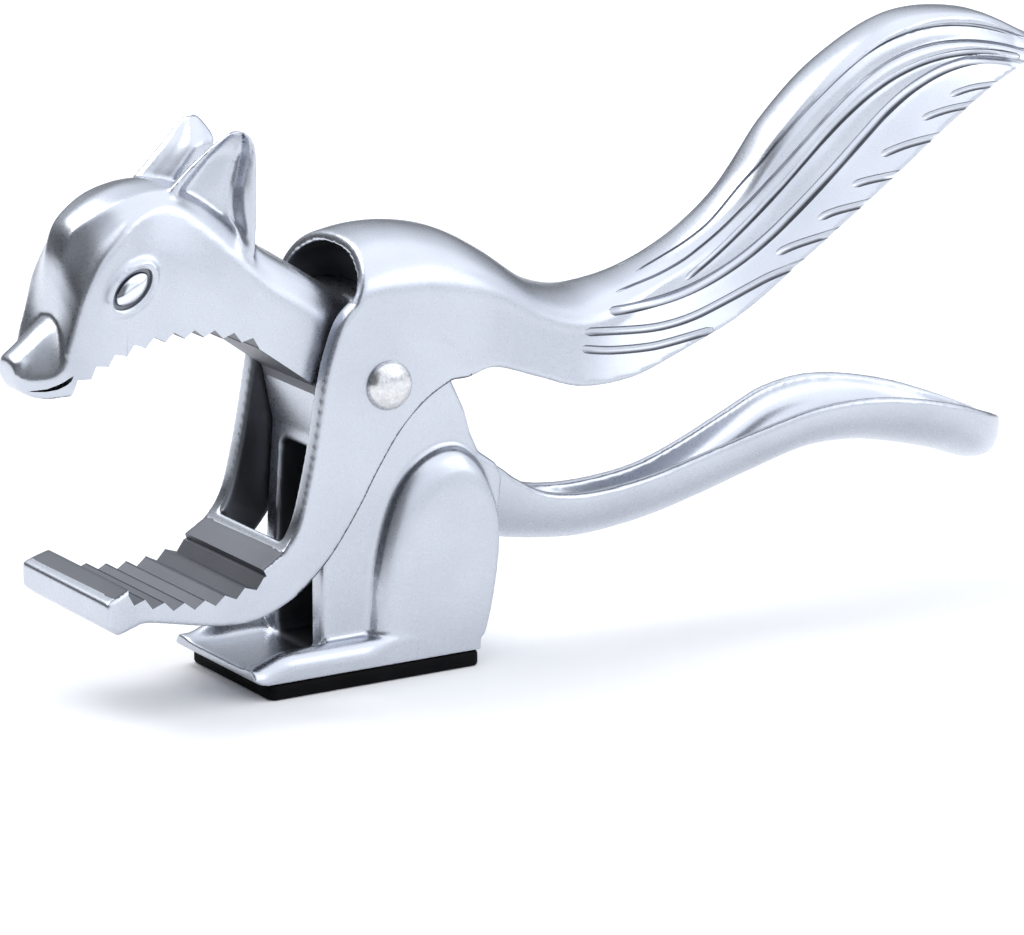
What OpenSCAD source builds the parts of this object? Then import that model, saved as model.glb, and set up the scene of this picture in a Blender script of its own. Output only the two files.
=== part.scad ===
/* [Overall] */
// Width across the jaw, the cheeks and the base
body_w = 24; // [22:0.5:28]
// Running gap between each cheek and the torso
side_gap = 0.3; // [0.2:0.05:0.5]

/* [Base] */
// Length of the rubber pad under the base
pad_l = 35.2; // [32:0.4:42]
// Thickness of the rubber pad
pad_t = 2.4; // [1.6:0.2:4]
// Corner radius of the pad
pad_r = 1.2; // [0.8:0.2:4]
// Height of the plinth above the pad
plinth_h = 4.2; // [3.6:0.2:6]
// How far the plinth's front lip reaches past the pad
lip_l = 2.6; // [1:0.2:4]
// Depth of the dished floor in front of the chest
dish_h = 1.9; // [1:0.1:2.6]
// Radius along the top edges of the plinth
plinth_r = 2.6; // [1.5:0.1:3.2]

/* [Pivot] */
// Pivot axis ahead of or behind the middle of the pad
pivot_x = 2.3; // [0:0.1:5]
// Height of the pivot axis above the table
pivot_z = 44.35; // [43:0.05:48]
// Diameter of the rivet's shank
shank_d = 5; // [4:0.25:6]
// Diameter of the rivet's domed head
rivet_head_d = 7.4; // [6.8:0.1:10]
// Height of the dome
rivet_head_h = 1.9; // [1.2:0.1:2.6]
// Diameter of the narrow end that carries the cap
spigot_d = 3.2; // [2.4:0.1:3.6]
// Wall of the bush in the torso
bush_wall = 1.2; // [0.8:0.1:2]
// Radial running clearance of the shank in the bush
run_gap = 0.05; // [0.02:0.01:0.09]
// Diameter of the thrust washers
washer_d = 11; // [9:0.5:13]
// Thickness of the thrust washers
washer_t = 0.6; // [0.5:0.05:0.9]
// Free play between each washer and its cheek
washer_gap = 0.1; // [0.05:0.05:0.15]

/* [Torso] */
// Thickness of the chest's side walls
chest_wall = 3.5; // [2.5:0.25:4.5]
// Depth of the chest cavity, front to back
chest_depth = 11; // [8:0.5:12]
// Height of the chest cavity's roof above the table
chest_top = 34; // [28:0.5:35]
// Radius of the shoulders that turn inside the hood
shoulder_r = 12.2; // [11.6:0.1:12.4]

/* [Head] */
// From the pivot forward to the tip of the nose
head_reach = 55.3; // [52:0.1:60]
// Height of the ears above the crown of the head
ear_h = 7.4; // [5:0.2:9]
// Depth of the hollow in each ear
ear_cup = 2.2; // [1:0.2:3]
// Thickness of the ears
ear_t = 2.2; // [1.6:0.1:2.8]

/* [Jaws] */
// From the pivot forward to the lower jaw's front face
jaw_reach = 46; // [44:0.2:50]
// Radius of the arcs that both rows of teeth follow
jaw_r = 27.4; // [26:0.2:30]
// Distance from tooth to tooth
tooth_pitch = 3.1; // [2.4:0.1:4]
// Height of the teeth
tooth_h = 1.15; // [0.8:0.05:1.5]

/* [Tail lever] */
// Thickness of the two cheeks
cheek_t = 3; // [2.5:0.1:4]
// Wall of the hood and the tail
tail_wall = 1.9; // [1.5:0.1:2.4]
// From the pivot back to the tip of the tail
tail_reach = 125.2; // [118:0.2:132]
// Depth of the long grooves in the tail
groove_h = 0.7; // [0.3:0.05:0.9]

/* [Lower handle] */
// From the pivot back to the end of the lower handle
handle_reach = 115; // [108:0.5:120]
// Widest part of the lower handle
handle_w = 20.5; // [18:0.5:24]
// Wall of the handle's trough
handle_wall = 2.2; // [1.8:0.1:3]

/* [Hidden] */

satin = [0.80, 0.82, 0.88];
steel = [0.72, 0.72, 0.74];
bronze = [0.72, 0.55, 0.32];
nylon = [0.90, 0.90, 0.86];
black_rubber = [0.06, 0.06, 0.07];

round_fn = 64;            // facets that stand for a true circle
half_w = body_w / 2;
cheek_in = half_w - cheek_t;               // inner face of each cheek
torso_w = cheek_in - side_gap;             // half width of the torso and the neck
plinth_top = pad_t + plinth_h;
chest_front = -7;                          // front edge of the chest's side walls
back_x = pad_l / 2 + 0.3;                  // rear face of the plinth
bush_d = shank_d + 2 * bush_wall;
washer_seat = cheek_in - washer_gap - washer_t;
pivot = [pivot_x, pivot_z];

// ---- curves ------------------------------------------------------------------------------

// A point on the smooth curve between b and c, at t from 0 to 1
function between(a, b, c, d, t) =
    0.5 * (2 * b + (c - a) * t + (2 * a - 5 * b + 4 * c - d) * t * t
           + (3 * b - a - 3 * c + d) * t * t * t);

// The smooth curve through all rows, with this many steps between two rows
function smooth(rows, steps) =
    let (last = len(rows) - 1)
    concat([for (i = [0:last - 1]) for (k = [0:steps - 1])
                between(rows[max(i - 1, 0)], rows[i], rows[i + 1], rows[min(i + 2, last)], k / steps)],
           [rows[last]]);

function ramp(x, from, to) = min(1, max(0, (x - from) / (to - from)));
function unit(v) = v / max(norm(v), 1e-6);

// A closed outline whose corner i is rounded with setback r[i], three steps a corner
function rounded(p, r) =
    let (n = len(p))
    [for (i = [0:n - 1])
        let (a = p[(i + n - 1) % n] - p[i],
             b = p[(i + 1) % n] - p[i],
             s = min(r[i], 0.45 * norm(a), 0.45 * norm(b)),
             from = p[i] + unit(a) * s,
             to = p[i] + unit(b) * s)
        for (t = [0:1 / 3:1.01])
            (1 - t) * (1 - t) * from + 2 * t * (1 - t) * p[i] + t * t * to];

function reversed(list) = [for (i = [len(list) - 1:-1:0]) list[i]];

// A solid skinned over rings that have the same number of points, each turning right-handed
// about the way from the first ring to the last
module skin(rings) {
    n = len(rings[0]);
    last = len(rings) - 1;
    sides = [for (i = [0:last - 1]) for (k = [0:n - 1])
        let (a = i * n + k, b = i * n + (k + 1) % n)
        each [[a, b, b + n], [a, b + n, a + n]]];
    first_cap = [for (k = [n - 1:-1:0]) k];
    last_cap = [for (k = [0:n - 1]) last * n + k];
    polyhedron([for (r = rings) each r], concat(sides, [first_cap, last_cap]), convexity = 10);
}

// A side view outline in X and Z, made solid from y = from to y = to
module side_plate(outline, from, to) {
    translate([0, to, 0]) rotate([90, 0, 0]) linear_extrude(to - from) polygon(outline);
}

module both_sides() {
    children();
    mirror([0, 1, 0]) children();
}

// ---- jaws --------------------------------------------------------------------------------

tooth_angle = tooth_pitch / jaw_r * 180 / PI;
upper_arc = pivot + [-31.8, -17.2];        // centre of the upper jaw's arc
lower_arc = pivot + [-30.9, -0.1];         // centre of the lower jaw's arc
upper_start = 38;                          // angle of the upper jaw's first tooth, ahead of the arc's top
arc_end = 27;                              // angle of its last tooth, behind the top

function on_arc(centre, r, a) = centre + r * [sin(a), cos(a)];

// Sawtooth line: points stand towards the arc's centre, and valleys lie a tooth deeper
function sawtooth(centre, from, to, up) =
    let (n = round((to - from) / tooth_angle), step = (to - from) / n)
    [for (i = [0:2 * n])
        let (a = from + i * step / 2, q = on_arc([0, 0], jaw_r + (i % 2) * tooth_h, a))
        centre + [q[0], up * q[1]]];

// What the mouth takes out of the head: the toothed arch, and the throat behind it
throat = pivot + [-9.8, 0.25];
module mouth_cut() {
    arch = sawtooth(upper_arc, -upper_start, arc_end, 1);
    lip_back = arch[0] + [-0.9, -2.6];
    outline = concat([[lip_back[0], upper_arc[1]], lip_back], arch, [throat, [throat[0], upper_arc[1]]]);
    side_plate(outline, -half_w, half_w);
}

// ---- head --------------------------------------------------------------------------------

// Ribs of the head and neck from the nose back, from the pivot:
// x, underside z, half width there, cheek z, half width there, ridge z, half width there, crown z
head_ribs = [
    [-55.3,  6.3, 0.8,  7.0, 1.2,  7.9, 0.9,  8.1],
    [-54.3,  4.9, 1.9,  6.6, 2.9,  9.2, 1.6,  9.6],
    [-52.3,  3.7, 3.6,  6.6, 4.9, 10.2, 2.2, 10.8],
    [-50.3,  3.0, 5.2,  7.0, 6.6, 11.0, 2.5, 11.7],
    [-48.6,  2.9, 6.8,  9.0, 8.2, 12.2, 3.0, 12.8],
    [-47.2,  3.1, 7.6, 13.4, 8.7, 14.0, 4.6, 14.2],
    [-45.7,  3.4, 8.1, 16.8, 8.7, 17.0, 5.0, 17.2],
    [-43.7,  4.0, 8.6, 20.0, 8.7, 21.6, 4.4, 22.6],
    [-40.7,  4.0, 8.7, 23.8, 8.7, 26.2, 4.2, 27.4],
    [-36.3,  4.0, 8.7, 26.8, 8.4, 29.4, 4.2, 30.2],
    [-31.3,  4.0, 8.7, 26.4, 8.5, 30.8, 5.4, 31.6],
    [-26.3,  4.0, 8.7, 24.4, 8.6, 30.0, 5.2, 31.2],
    [-21.3,  3.0, 8.7, 21.0, 8.6, 25.6, 5.0, 26.6],
    [-17.3,  1.0, 8.7, 18.4, 8.6, 21.2, 5.2, 21.8],
    [-12.3,  0.4, 8.6, 16.2, 8.4, 18.5, 5.2, 19.0],
    [ -7.3,  0.4, 8.4, 13.2, 8.3, 15.6, 5.2, 16.2],
    [ -1.3,  0.4, 8.4,  9.0, 8.3, 11.6, 5.2, 12.2]];
rib_reach = -head_ribs[0][0];
width_k = torso_w / 8.7;                   // the ribs are drawn for this half width
stem_x = -12.3;                            // the neck behind here keeps its length

function head_x(x) = x > stem_x ? x : stem_x + (x - stem_x) * (head_reach + stem_x) / (rib_reach + stem_x);

function head_ring(r) =
    let (x = pivot_x + head_x(r[0]),
         z = pivot_z,
         w = [r[2], r[4], r[6]] * width_k,
         ring = rounded([[w[0], r[1]], [w[1], r[3]], [w[2], r[5]], [0, r[7]],
                         [-w[2], r[5]], [-w[1], r[3]], [-w[0], r[1]]],
                        [0.8, 1.6, 1.4, 1.6, 1.4, 1.6, 0.8]))
    [for (p = ring) [x, p[0], z + p[1]]];

module head() {
    skin(reversed([for (r = smooth(head_ribs, 2)) head_ring(r)]));
}

// Slices of an ear from its root up, from the pivot: z, front x, front y, rear x, rear y
ear_slices = [
    [19.0, -22.5, 7.6, -19.6, 8.2],
    [24.0, -29.0, 6.6, -19.3, 8.4],
    [30.6, -31.9, 5.6, -19.3, 8.6],
    [34.4, -28.0, 6.0, -19.4, 8.6],
    [37.0, -24.9, 6.8, -19.7, 8.5],
    [38.7, -22.8, 7.6, -20.8, 8.2]];
crown_z = 31.6;                            // crown of the head, where the ears start to stand free
drawn_ear_h = 7.4;

function ear_ring(s) =
    let (front = [head_x(s[1]), s[2] * width_k],
         rear = [head_x(s[3]), s[4] * width_k],
         n = unit([rear[1] - front[1], front[0] - rear[0]]),
         z = s[0] < crown_z ? s[0] : crown_z + (s[0] - crown_z) * ear_h / drawn_ear_h,
         room = min(1, norm(rear - front) / 8),
         outer = [for (t = [0:1 / 6:1.01]) front + t * (rear - front) + n * ear_cup * room * sin(180 * t)],
         inner = [for (t = [5 / 6:-1 / 6:0.01])
                  front + t * (rear - front) + n * (ear_cup + ear_t) * room * pow(sin(180 * t), 0.6)])
    [for (p = concat(outer, inner)) [pivot_x + p[0], p[1], pivot_z + z]];

module ear() {
    skin([for (s = smooth(ear_slices, 2)) ear_ring(s)]);
}

// ---- torso, base and lower handle ---------------------------------------------------------

back_line = [[15, -6.4], [16, -10], [17.4, -13], [20.4, -15.2]];   // the back above the handle, from the pivot

module torso() {
    shoulders = [for (a = [100:-9:-7]) pivot + shoulder_r * [cos(a), sin(a)]];
    outline = concat([[chest_front, plinth_top - 2], [chest_front, 18], [-8, 36], throat, throat + [0, 6]],
                     shoulders,
                     [for (p = back_line) pivot + p],
                     [[23.6, 27.2], [22.8, 18], [20.8, 15.2], [back_x + 0.6, plinth_top - 2]]);
    side_plate(outline, -torso_w, torso_w);
}

module chest_cavity() {
    w = torso_w - chest_wall;
    back = chest_front + chest_depth;
    outline = [[chest_front - 1, plinth_top - dish_h], [back, plinth_top - dish_h], [back - 0.6, chest_top - 5],
               [back - 4, chest_top], [-20, chest_top]];
    side_plate(outline, -w, w);
}

// Outline of a haunch, from the pad's middle: from the front foot over the top to the rear foot
haunch_line = [[0.6, 4.6], [1, 13.2], [2.2, 19.9], [4.4, 26.2], [7.2, 30.2], [10.8, 32.5], [14.6, 33],
               [17.4, 31.6], [19.7, 28.8], [21.2, 24.8], [21.6, 20.6], [21.1, 15.2], [19.9, 9],
               [18.6, 4.6]];
// Levels of a haunch from the torso out: share of the outline's size, share of the way out
haunch_levels = [[1, -0.3], [1, 0.08], [0.975, 0.45], [0.93, 0.74], [0.86, 0.93], [0.76, 1]];
haunch_foot = [18.4, 4.4];                 // the haunch is full at its rear foot

module haunch() {
    proud = half_w - torso_w;
    line = smooth(haunch_line, 2);
    skin([for (l = reversed(haunch_levels))
        [for (p = line)
            let (q = haunch_foot + (p - haunch_foot) * l[0])
            [q[0], torso_w + proud * l[1], q[1] + (pad_t - 2.4)]]]);
}

module plinth() {
    shoulder = half_w - plinth_r;
    edge = [for (a = [0:15:90]) [shoulder + plinth_r * cos(a), plinth_top - plinth_r + plinth_r * sin(a)]];
    outline = concat([[half_w, pad_t]], edge, [for (i = [len(edge) - 1:-1:0]) [-edge[i][0], edge[i][1]]],
                     [[-half_w, pad_t]]);
    front = -pad_l / 2 - lip_l;
    foot = [[front + 1.6, pad_t], [back_x, pad_t], [back_x + 0.4, plinth_top + 1], [front - 1, plinth_top + 1],
            [front, pad_t + 2.4]];
    intersection() {
        translate([front - 1, 0, 0]) rotate([90, 0, 90]) linear_extrude(back_x - front + 2) polygon(outline);
        side_plate(foot, -half_w - 1, half_w + 1);
    }
}

// The dished floor between the two rims in front of the chest
module dish() {
    w = torso_w - chest_wall + 2;
    side_plate([[-pad_l, plinth_top + 1], [-pad_l, plinth_top - dish_h - 0.4], [chest_front - 4, plinth_top - dish_h],
                [chest_front - 0.01, plinth_top - dish_h], [chest_front - 0.01, plinth_top + 1]], -w, w);
}

// Ribs of the lower handle, from the pivot back: x, rim z, underside z, half width, trough depth
handle_ribs = [
    [ 13.2, -17.0, -27.4, 5.6, 0.2],
    [ 21.2, -16.4, -28.0, 5.2, 0.2],
    [ 26.4, -19.6, -29.2, 4.7, 0.2],
    [ 31.6, -22.4, -30.0, 4.4, 0.8],
    [ 38.2, -23.4, -30.6, 4.5, 3.0],
    [ 45.2, -23.2, -30.2, 4.2, 4.2],
    [ 52.2, -22.2, -29.2, 4.1, 4.6],
    [ 60.2, -20.0, -27.2, 4.9, 4.8],
    [ 69.2, -17.2, -24.4, 6.6, 5.0],
    [ 77.7, -14.8, -22.0, 8.5, 5.0],
    [ 86.2, -14.2, -21.9, 9.8, 5.2],
    [ 94.2, -15.2, -23.4, 10.25, 5.2],
    [102.2, -17.2, -25.6, 10.1, 5.0],
    [108.2, -19.3, -27.8, 8.9, 4.2],
    [112.2, -20.9, -28.2, 6.6, 2.4],
    [114.4, -21.8, -27.2, 3.9, 0.4],
    [115.0, -22.2, -25.4, 2.0, 0.2]];
root_x = 31.6;                             // the handle ahead of here keeps its length
drawn_handle_reach = 115;
drawn_handle_w = 20.5;

function handle_x(x) = x < root_x ? x : root_x + (x - root_x) * (handle_reach - root_x) / (drawn_handle_reach - root_x);

// Half widths past the slim part follow the widest part
function handle_half(x, w) = w + ramp(x, 52, 86) * (handle_w - drawn_handle_w) / 2 * w / 10.25;

function handle_ring(r) =
    let (x = pivot_x + handle_x(r[0]), w = handle_half(r[0], r[3]), rim = r[1], low = r[2],
         in_w = max(w - handle_wall, 0.3 * w), floor_z = rim - min(r[4], rim - low - handle_wall),
         side = [[1, 0.06], [0.97, 0.42], [0.84, 0.75], [0.58, 0.95], [0.22, 1]],
         outer = [for (s = side) [s[0] * w, rim + s[1] * (low - rim)]],
         inner = [for (s = [[1, 0], [0.92, 0.5], [0.7, 0.85], [0.35, 1]]) [s[0] * in_w, rim + s[1] * (floor_z - rim)]],
         half = concat([for (i = [3:-1:0]) inner[i]], [[w - 0.3 * (w - in_w), rim]], outer))
    [for (p = half) [x, p[0], pivot_z + p[1]],
     for (i = [len(half) - 1:-1:0]) [x, -half[i][0], pivot_z + half[i][1]]];

module handle() {
    skin([for (r = smooth(handle_ribs, 2)) handle_ring(r)]);
}

module body_casting() {
    color(satin) difference() {
        union() {
            head();
            both_sides() ear();
            torso();
            both_sides() haunch();
            plinth();
            handle();
        }
        mouth_cut();
        chest_cavity();
        dish();
        pivot_hole(bush_d, 2 * half_w);
        both_sides() washer_recess();
    }
}

// ---- tail lever ---------------------------------------------------------------------------

cheek_front = [[-5, 12.7], [-7.6, 10], [-9.4, 5.6], [-10.6, 1.2], [-12.1, -7], [-13.4, -13],
               [-15.1, -18.9], [-17.6, -22.6], [-20.6, -25.6]];
arm_back = [[13.4, 0.2], [11.4, -0.6], [6.8, -3], [2.4, -7], [-1.5, -12.5], [-4.6, -17.6], [-8.5, -23.1],
            [-11.6, -26.4], [-15.3, -29.3], [-19.9, -31.4], [-23.7, -32.1], [-28.9, -31.7], [-37.7, -29.9],
            [-40.4, -29.5]];
jaw_front_h = 3.4;
drawn_jaw_reach = 46;
chin = [[1.8, -5], [0, -jaw_front_h], [0, 0]];

function jaw_x(x) = x > -20.6 ? x : -20.6 + (x + 20.6) * (jaw_reach - 20.6) / (drawn_jaw_reach - 20.6);

function lever_outline() =
    let (front = smooth(cheek_front, 2), back = smooth(arm_back, 2), face = [-jaw_reach, -25.4],
         teeth = sawtooth(lower_arc - pivot, -26.5, 21.5, -1))
    [for (p = concat(front, [for (i = [len(teeth) - 1:-1:0]) [jaw_x(teeth[i][0]), teeth[i][1]]],
                     [for (i = [2:-1:0]) face + chin[i]],
                     [for (i = [len(back) - 1:-1:0]) [jaw_x(back[i][0]), back[i][1]]]))
        pivot + p];

module cheeks() {
    both_sides() side_plate(concat(lever_outline(), [pivot + [11, 5], pivot + [3, 9]]), cheek_in, half_w);
}

// The toothed floor of the lower jaw, across the full width
module jaw_floor() {
    intersection() {
        side_plate(lever_outline(), -half_w, half_w);
        translate(concat(-60, -half_w, 0)) cube([60 + pivot_x - 16.4, body_w, 24]);
    }
}

// Ribs of the hood and the tail, from the pivot back:
// lower edge x and z, upper edge x and z, half width low and high, where the shoulder starts
tail_ribs = [
    [-10.4,  0.0,  -1.8, 20.2, 12.0, 12.0, 0.62],
    [ -4.0,  0.0,   3.0, 21.0, 12.0, 12.0, 0.60],
    [  4.0,  0.0,   8.7, 20.8, 12.0, 12.0, 0.58],
    [ 12.6, -0.8,  14.6, 19.3, 12.0, 11.6, 0.56],
    [ 18.0,  0.2,  20.6, 16.0, 12.0, 11.0, 0.55],
    [ 25.4, -2.2,  28.4, 10.6, 11.6, 10.2, 0.56],
    [ 33.4, -4.9,  36.0,  8.0, 11.0,  9.2, 0.58],
    [ 42.6, -4.9,  42.6,  8.1, 10.4,  7.8, 0.64],
    [ 51.6, -2.3,  49.6,  9.7,  9.8,  6.6, 0.74],
    [ 63.2,  2.2,  57.7, 13.5,  9.4,  5.8, 0.82],
    [ 75.4,  9.8,  65.6, 19.4,  9.2,  5.4, 0.86],
    [ 87.7, 17.6,  73.4, 28.9,  8.8,  5.2, 0.86],
    [ 99.5, 25.4,  83.2, 37.2,  8.2,  5.0, 0.86],
    [109.3, 31.2,  95.6, 43.0,  7.4,  4.6, 0.85],
    [117.0, 34.0, 108.0, 42.8,  6.0,  3.8, 0.84],
    [122.2, 34.4, 118.0, 38.6,  4.2,  2.8, 0.82],
    [125.0, 33.8, 124.4, 35.3,  1.6,  1.2, 0.80]];
drawn_tail_reach = 125.2;
hood_back = 25.4;                          // the hood ahead of here keeps its length

function tail_x(x) = x < hood_back ? x : hood_back + (x - hood_back) * (tail_reach - hood_back) / (drawn_tail_reach - hood_back);

// Heights up the side of the tail where the three long grooves run, each between two shoulders
groove_at = [0.42, 0.70, 0.93];

// Half width of the tail at height t, from 0 at the lower edge to 1 at the top
function side_at(t, low, high, ts) =
    min(12, t < ts ? low + (high - low) * t / ts : high * pow(max(0, 1 - pow((t - ts) / (1 - ts), 2.4)), 1 / 2.4));

function in_groove(t) = len([for (g = groove_at) if (abs(g - t) < 0.001) g]) > 0;

heights = [0, 0.2, 0.36, 0.42, 0.48, 0.57, 0.64, 0.70, 0.76, 0.84, 0.90, 0.93, 0.96, 0.985, 1];

function tail_ring(r) =
    let (low = [tail_x(r[0]), r[1]], top = [tail_x(r[2]), r[3]], up = unit(top - low), d = norm(top - low),
         k = half_w / 12,
         cut = groove_h * ramp(r[0], 30, 58) * ramp(-r[0], -122, -112),
         wall = min(tail_wall, 0.3 * d, 0.45 * r[5]),
         side = [for (t = heights)
             let (w = side_at(t, r[4], r[5], r[6]) * k)
             [w - (in_groove(t) ? cut : 0), t * d]],
         hollow = [for (t = [0, 0.3, 0.55, 0.75, 0.9, 0.97, 1])
             let (w = side_at(t, r[4], r[5], r[6]) * k,
                  thick = r[0] < 22 ? cheek_t : wall + (cheek_t - wall) * (1 - ramp(r[0], 22, 34)))
             [max(w - thick, 0.05 * w), t * (d - wall)]],
         half = concat([for (i = [len(hollow) - 2:-1:0]) hollow[i]], side))
    [for (p = half) let (q = low + up * p[1]) [pivot_x + q[0], p[0], pivot_z + q[1]],
     for (i = [len(half) - 2:-1:0]) let (q = low + up * half[i][1]) [pivot_x + q[0], -half[i][0], pivot_z + q[1]],
     let (q = low + up * hollow[6][1]) [pivot_x + q[0], 0, pivot_z + q[1]]];

module tail() {
    skin(reversed([for (r = smooth(tail_ribs, 2)) tail_ring(r)]));
}

module tail_lever() {
    color(satin) difference() {
        union() {
            cheeks();
            jaw_floor();
            tail();
        }
        pivot_hole(shank_d, 2 * half_w);
    }
}

// ---- pivot --------------------------------------------------------------------------------

module along_pivot(from) {
    translate([pivot_x, from, pivot_z]) rotate([-90, 0, 0]) children();
}

module pivot_hole(d, l) {
    along_pivot(-l) cylinder(h = 2 * l, d = d, $fn = round_fn);
}

module washer_recess() {
    along_pivot(washer_seat) cylinder(h = half_w, d = washer_d + 0.2, $fn = round_fn);
}

// A low dome on a disc, standing on the plane at zero
module rivet_dome(d, h) {
    ball_r = (d * d / 4 + h * h) / (2 * h);
    intersection() {
        translate([0, 0, h - ball_r]) sphere(r = ball_r, $fn = round_fn);
        cylinder(h = h, d = d, $fn = round_fn);
    }
}

spigot_l = 1.2;                            // how far the spigot reaches into the cap

module pivot_rivet() {
    color(steel) union() {
        along_pivot(-half_w) cylinder(h = body_w, d = shank_d, $fn = round_fn);
        along_pivot(half_w - 0.5) cylinder(h = 0.5 + spigot_l, d = spigot_d, $fn = round_fn);
        mirror([0, 1, 0]) along_pivot(half_w) rivet_dome(rivet_head_d, rivet_head_h);
    }
}

module rivet_cap() {
    color(steel) along_pivot(half_w) difference() {
        rivet_dome(rivet_head_d, rivet_head_h);
        translate([0, 0, -1]) cylinder(h = 1 + spigot_l, d = spigot_d, $fn = round_fn);
    }
}

module pivot_bush() {
    color(bronze) along_pivot(-washer_seat) difference() {
        cylinder(h = 2 * washer_seat, d = bush_d, $fn = round_fn);
        translate([0, 0, -1]) cylinder(h = 2 * washer_seat + 2, d = shank_d + 2 * run_gap, $fn = round_fn);
    }
}

module washer() {
    along_pivot(washer_seat) difference() {
        cylinder(h = washer_t, d = washer_d, $fn = round_fn);
        translate([0, 0, -1]) cylinder(h = washer_t + 2, d = shank_d + 0.4, $fn = round_fn);
    }
}

module near_washer() {
    color(nylon) mirror([0, 1, 0]) washer();
}

module far_washer() {
    color(nylon) washer();
}

module base_pad() {
    color(black_rubber) linear_extrude(pad_t)
        translate([-pad_l / 2 + pad_r, -half_w + pad_r])
            hull() for (x = [0, pad_l - 2 * pad_r], y = [0, body_w - 2 * pad_r])
                translate([x, y]) circle(r = pad_r, $fn = round_fn);
}

body_casting();
tail_lever();
pivot_rivet();
rivet_cap();
pivot_bush();
near_washer();
far_washer();
base_pad();
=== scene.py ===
"""Visual model of a cast-metal lever nutcracker press: body casting, tail lever, pivot and pad."""
import math

import bmesh
import bpy
import numpy as np
from bpy.props import FloatProperty, FloatVectorProperty, IntProperty, PointerProperty
from mathutils import Matrix, Vector
from mathutils.bvhtree import BVHTree


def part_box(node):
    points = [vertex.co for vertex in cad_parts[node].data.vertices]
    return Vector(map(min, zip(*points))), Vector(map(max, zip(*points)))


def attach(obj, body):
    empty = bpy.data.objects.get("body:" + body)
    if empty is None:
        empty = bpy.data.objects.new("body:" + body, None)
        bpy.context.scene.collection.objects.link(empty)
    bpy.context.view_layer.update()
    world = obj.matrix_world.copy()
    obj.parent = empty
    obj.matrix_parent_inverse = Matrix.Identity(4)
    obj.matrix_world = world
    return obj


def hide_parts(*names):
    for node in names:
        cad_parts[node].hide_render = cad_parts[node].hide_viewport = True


bl_info = {
    "name": "Lever Nutcracker Press",
    "version": (1, 0, 0),
    "blender": (4, 5, 0),
    "location": "3D View > Sidebar > Nutcracker",
    "description": "Builds the castings, the pivot, the pad and the stage of a lever nutcracker press",
    "category": "Object",
}

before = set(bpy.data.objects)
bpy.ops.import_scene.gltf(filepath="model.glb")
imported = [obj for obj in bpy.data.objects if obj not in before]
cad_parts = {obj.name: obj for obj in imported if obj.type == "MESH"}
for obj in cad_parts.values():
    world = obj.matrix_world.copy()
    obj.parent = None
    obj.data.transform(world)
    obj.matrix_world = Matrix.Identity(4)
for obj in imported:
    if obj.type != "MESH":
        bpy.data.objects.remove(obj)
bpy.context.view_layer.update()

MM = 0.001
PIVOT = np.array([2.3, 44.35])       # side view, x and z in mm
HALF_W = 12.0                        # half width of the jaw, the cheeks and the base
CHEEK_IN = 9.0                       # inner face of each cheek
TORSO_W = 8.7                        # half width of the torso and the neck
PLINTH_TOP = 6.6
TEETH_R = 27.4                       # radius of the arcs that both rows of teeth follow
UPPER_ARC = PIVOT + [-31.8, -17.2]   # centre of the upper jaw's arc
LOWER_ARC = PIVOT + [-30.9, -0.1]    # centre of the lower jaw's arc
THROAT = PIVOT + [-9.8, 0.25]
UPPER_TEETH = (-38, 27)              # angles between which each row of teeth runs
LOWER_TEETH = (-26.5, 21.5)
EYE_CENTRE = np.array([-37.15, 62.7])
EYE_SOCKET = (3.75, 2.15)            # half length and half height of the socket


# ---- curves and shells ---------------------------------------------------------------------

def smooth(rows, steps):
    """The smooth curve through all rows, with this many steps between two rows."""
    p = np.array(rows, float)
    last = len(p) - 1
    out = []
    for i in range(last):
        a, b, c, d = p[max(i - 1, 0)], p[i], p[i + 1], p[min(i + 2, last)]
        for k in range(steps):
            t = k / steps
            out.append(0.5 * (2 * b + (c - a) * t + (2 * a - 5 * b + 4 * c - d) * t ** 2
                              + (3 * b - a - 3 * c + d) * t ** 3))
    return np.array(out + [p[last]])


def round_corners(points, reach, steps=5):
    """A closed outline whose corner i is rounded from reach[i] before it to reach[i] after it."""
    p = np.array(points, float)
    n = len(p)
    out = []
    for i in range(n):
        a, b = p[i - 1] - p[i], p[(i + 1) % n] - p[i]
        la, lb = max(np.linalg.norm(a), 1e-9), max(np.linalg.norm(b), 1e-9)
        s = min(reach[i], 0.47 * la, 0.47 * lb)
        start, end = p[i] + a / la * s, p[i] + b / lb * s
        for k in range(steps + 1):
            t = k / steps
            out.append((1 - t) ** 2 * start + 2 * t * (1 - t) * p[i] + t * t * end)
    return np.array(out)


def around(steps):
    """Angles of evenly spaced steps round a full turn."""
    return np.linspace(0, 2 * math.pi, steps, endpoint=False)


def both_sides(half, middle=()):
    """A ring from its near half, any points on the middle plane, and the half's mirror image."""
    return [*half, *middle, *((x, -y, z) for x, y, z in half[::-1])]


def put_in_scene(name, data):
    obj = bpy.data.objects.new(name, data)
    bpy.context.scene.collection.objects.link(obj)
    return obj


def new_object(name, verts, faces):
    mesh = bpy.data.meshes.new(name)
    mesh.from_pydata([tuple(float(c) * MM for c in v) for v in verts], [], faces)
    mesh.update()
    obj = put_in_scene(name, mesh)
    face_out(obj)
    return obj


def face_out(obj):
    """Turns every face of a closed mesh outwards."""
    bm = bmesh.new()
    bm.from_mesh(obj.data)
    bmesh.ops.recalc_face_normals(bm, faces=bm.faces)
    bm.to_mesh(obj.data)
    bm.free()


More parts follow.
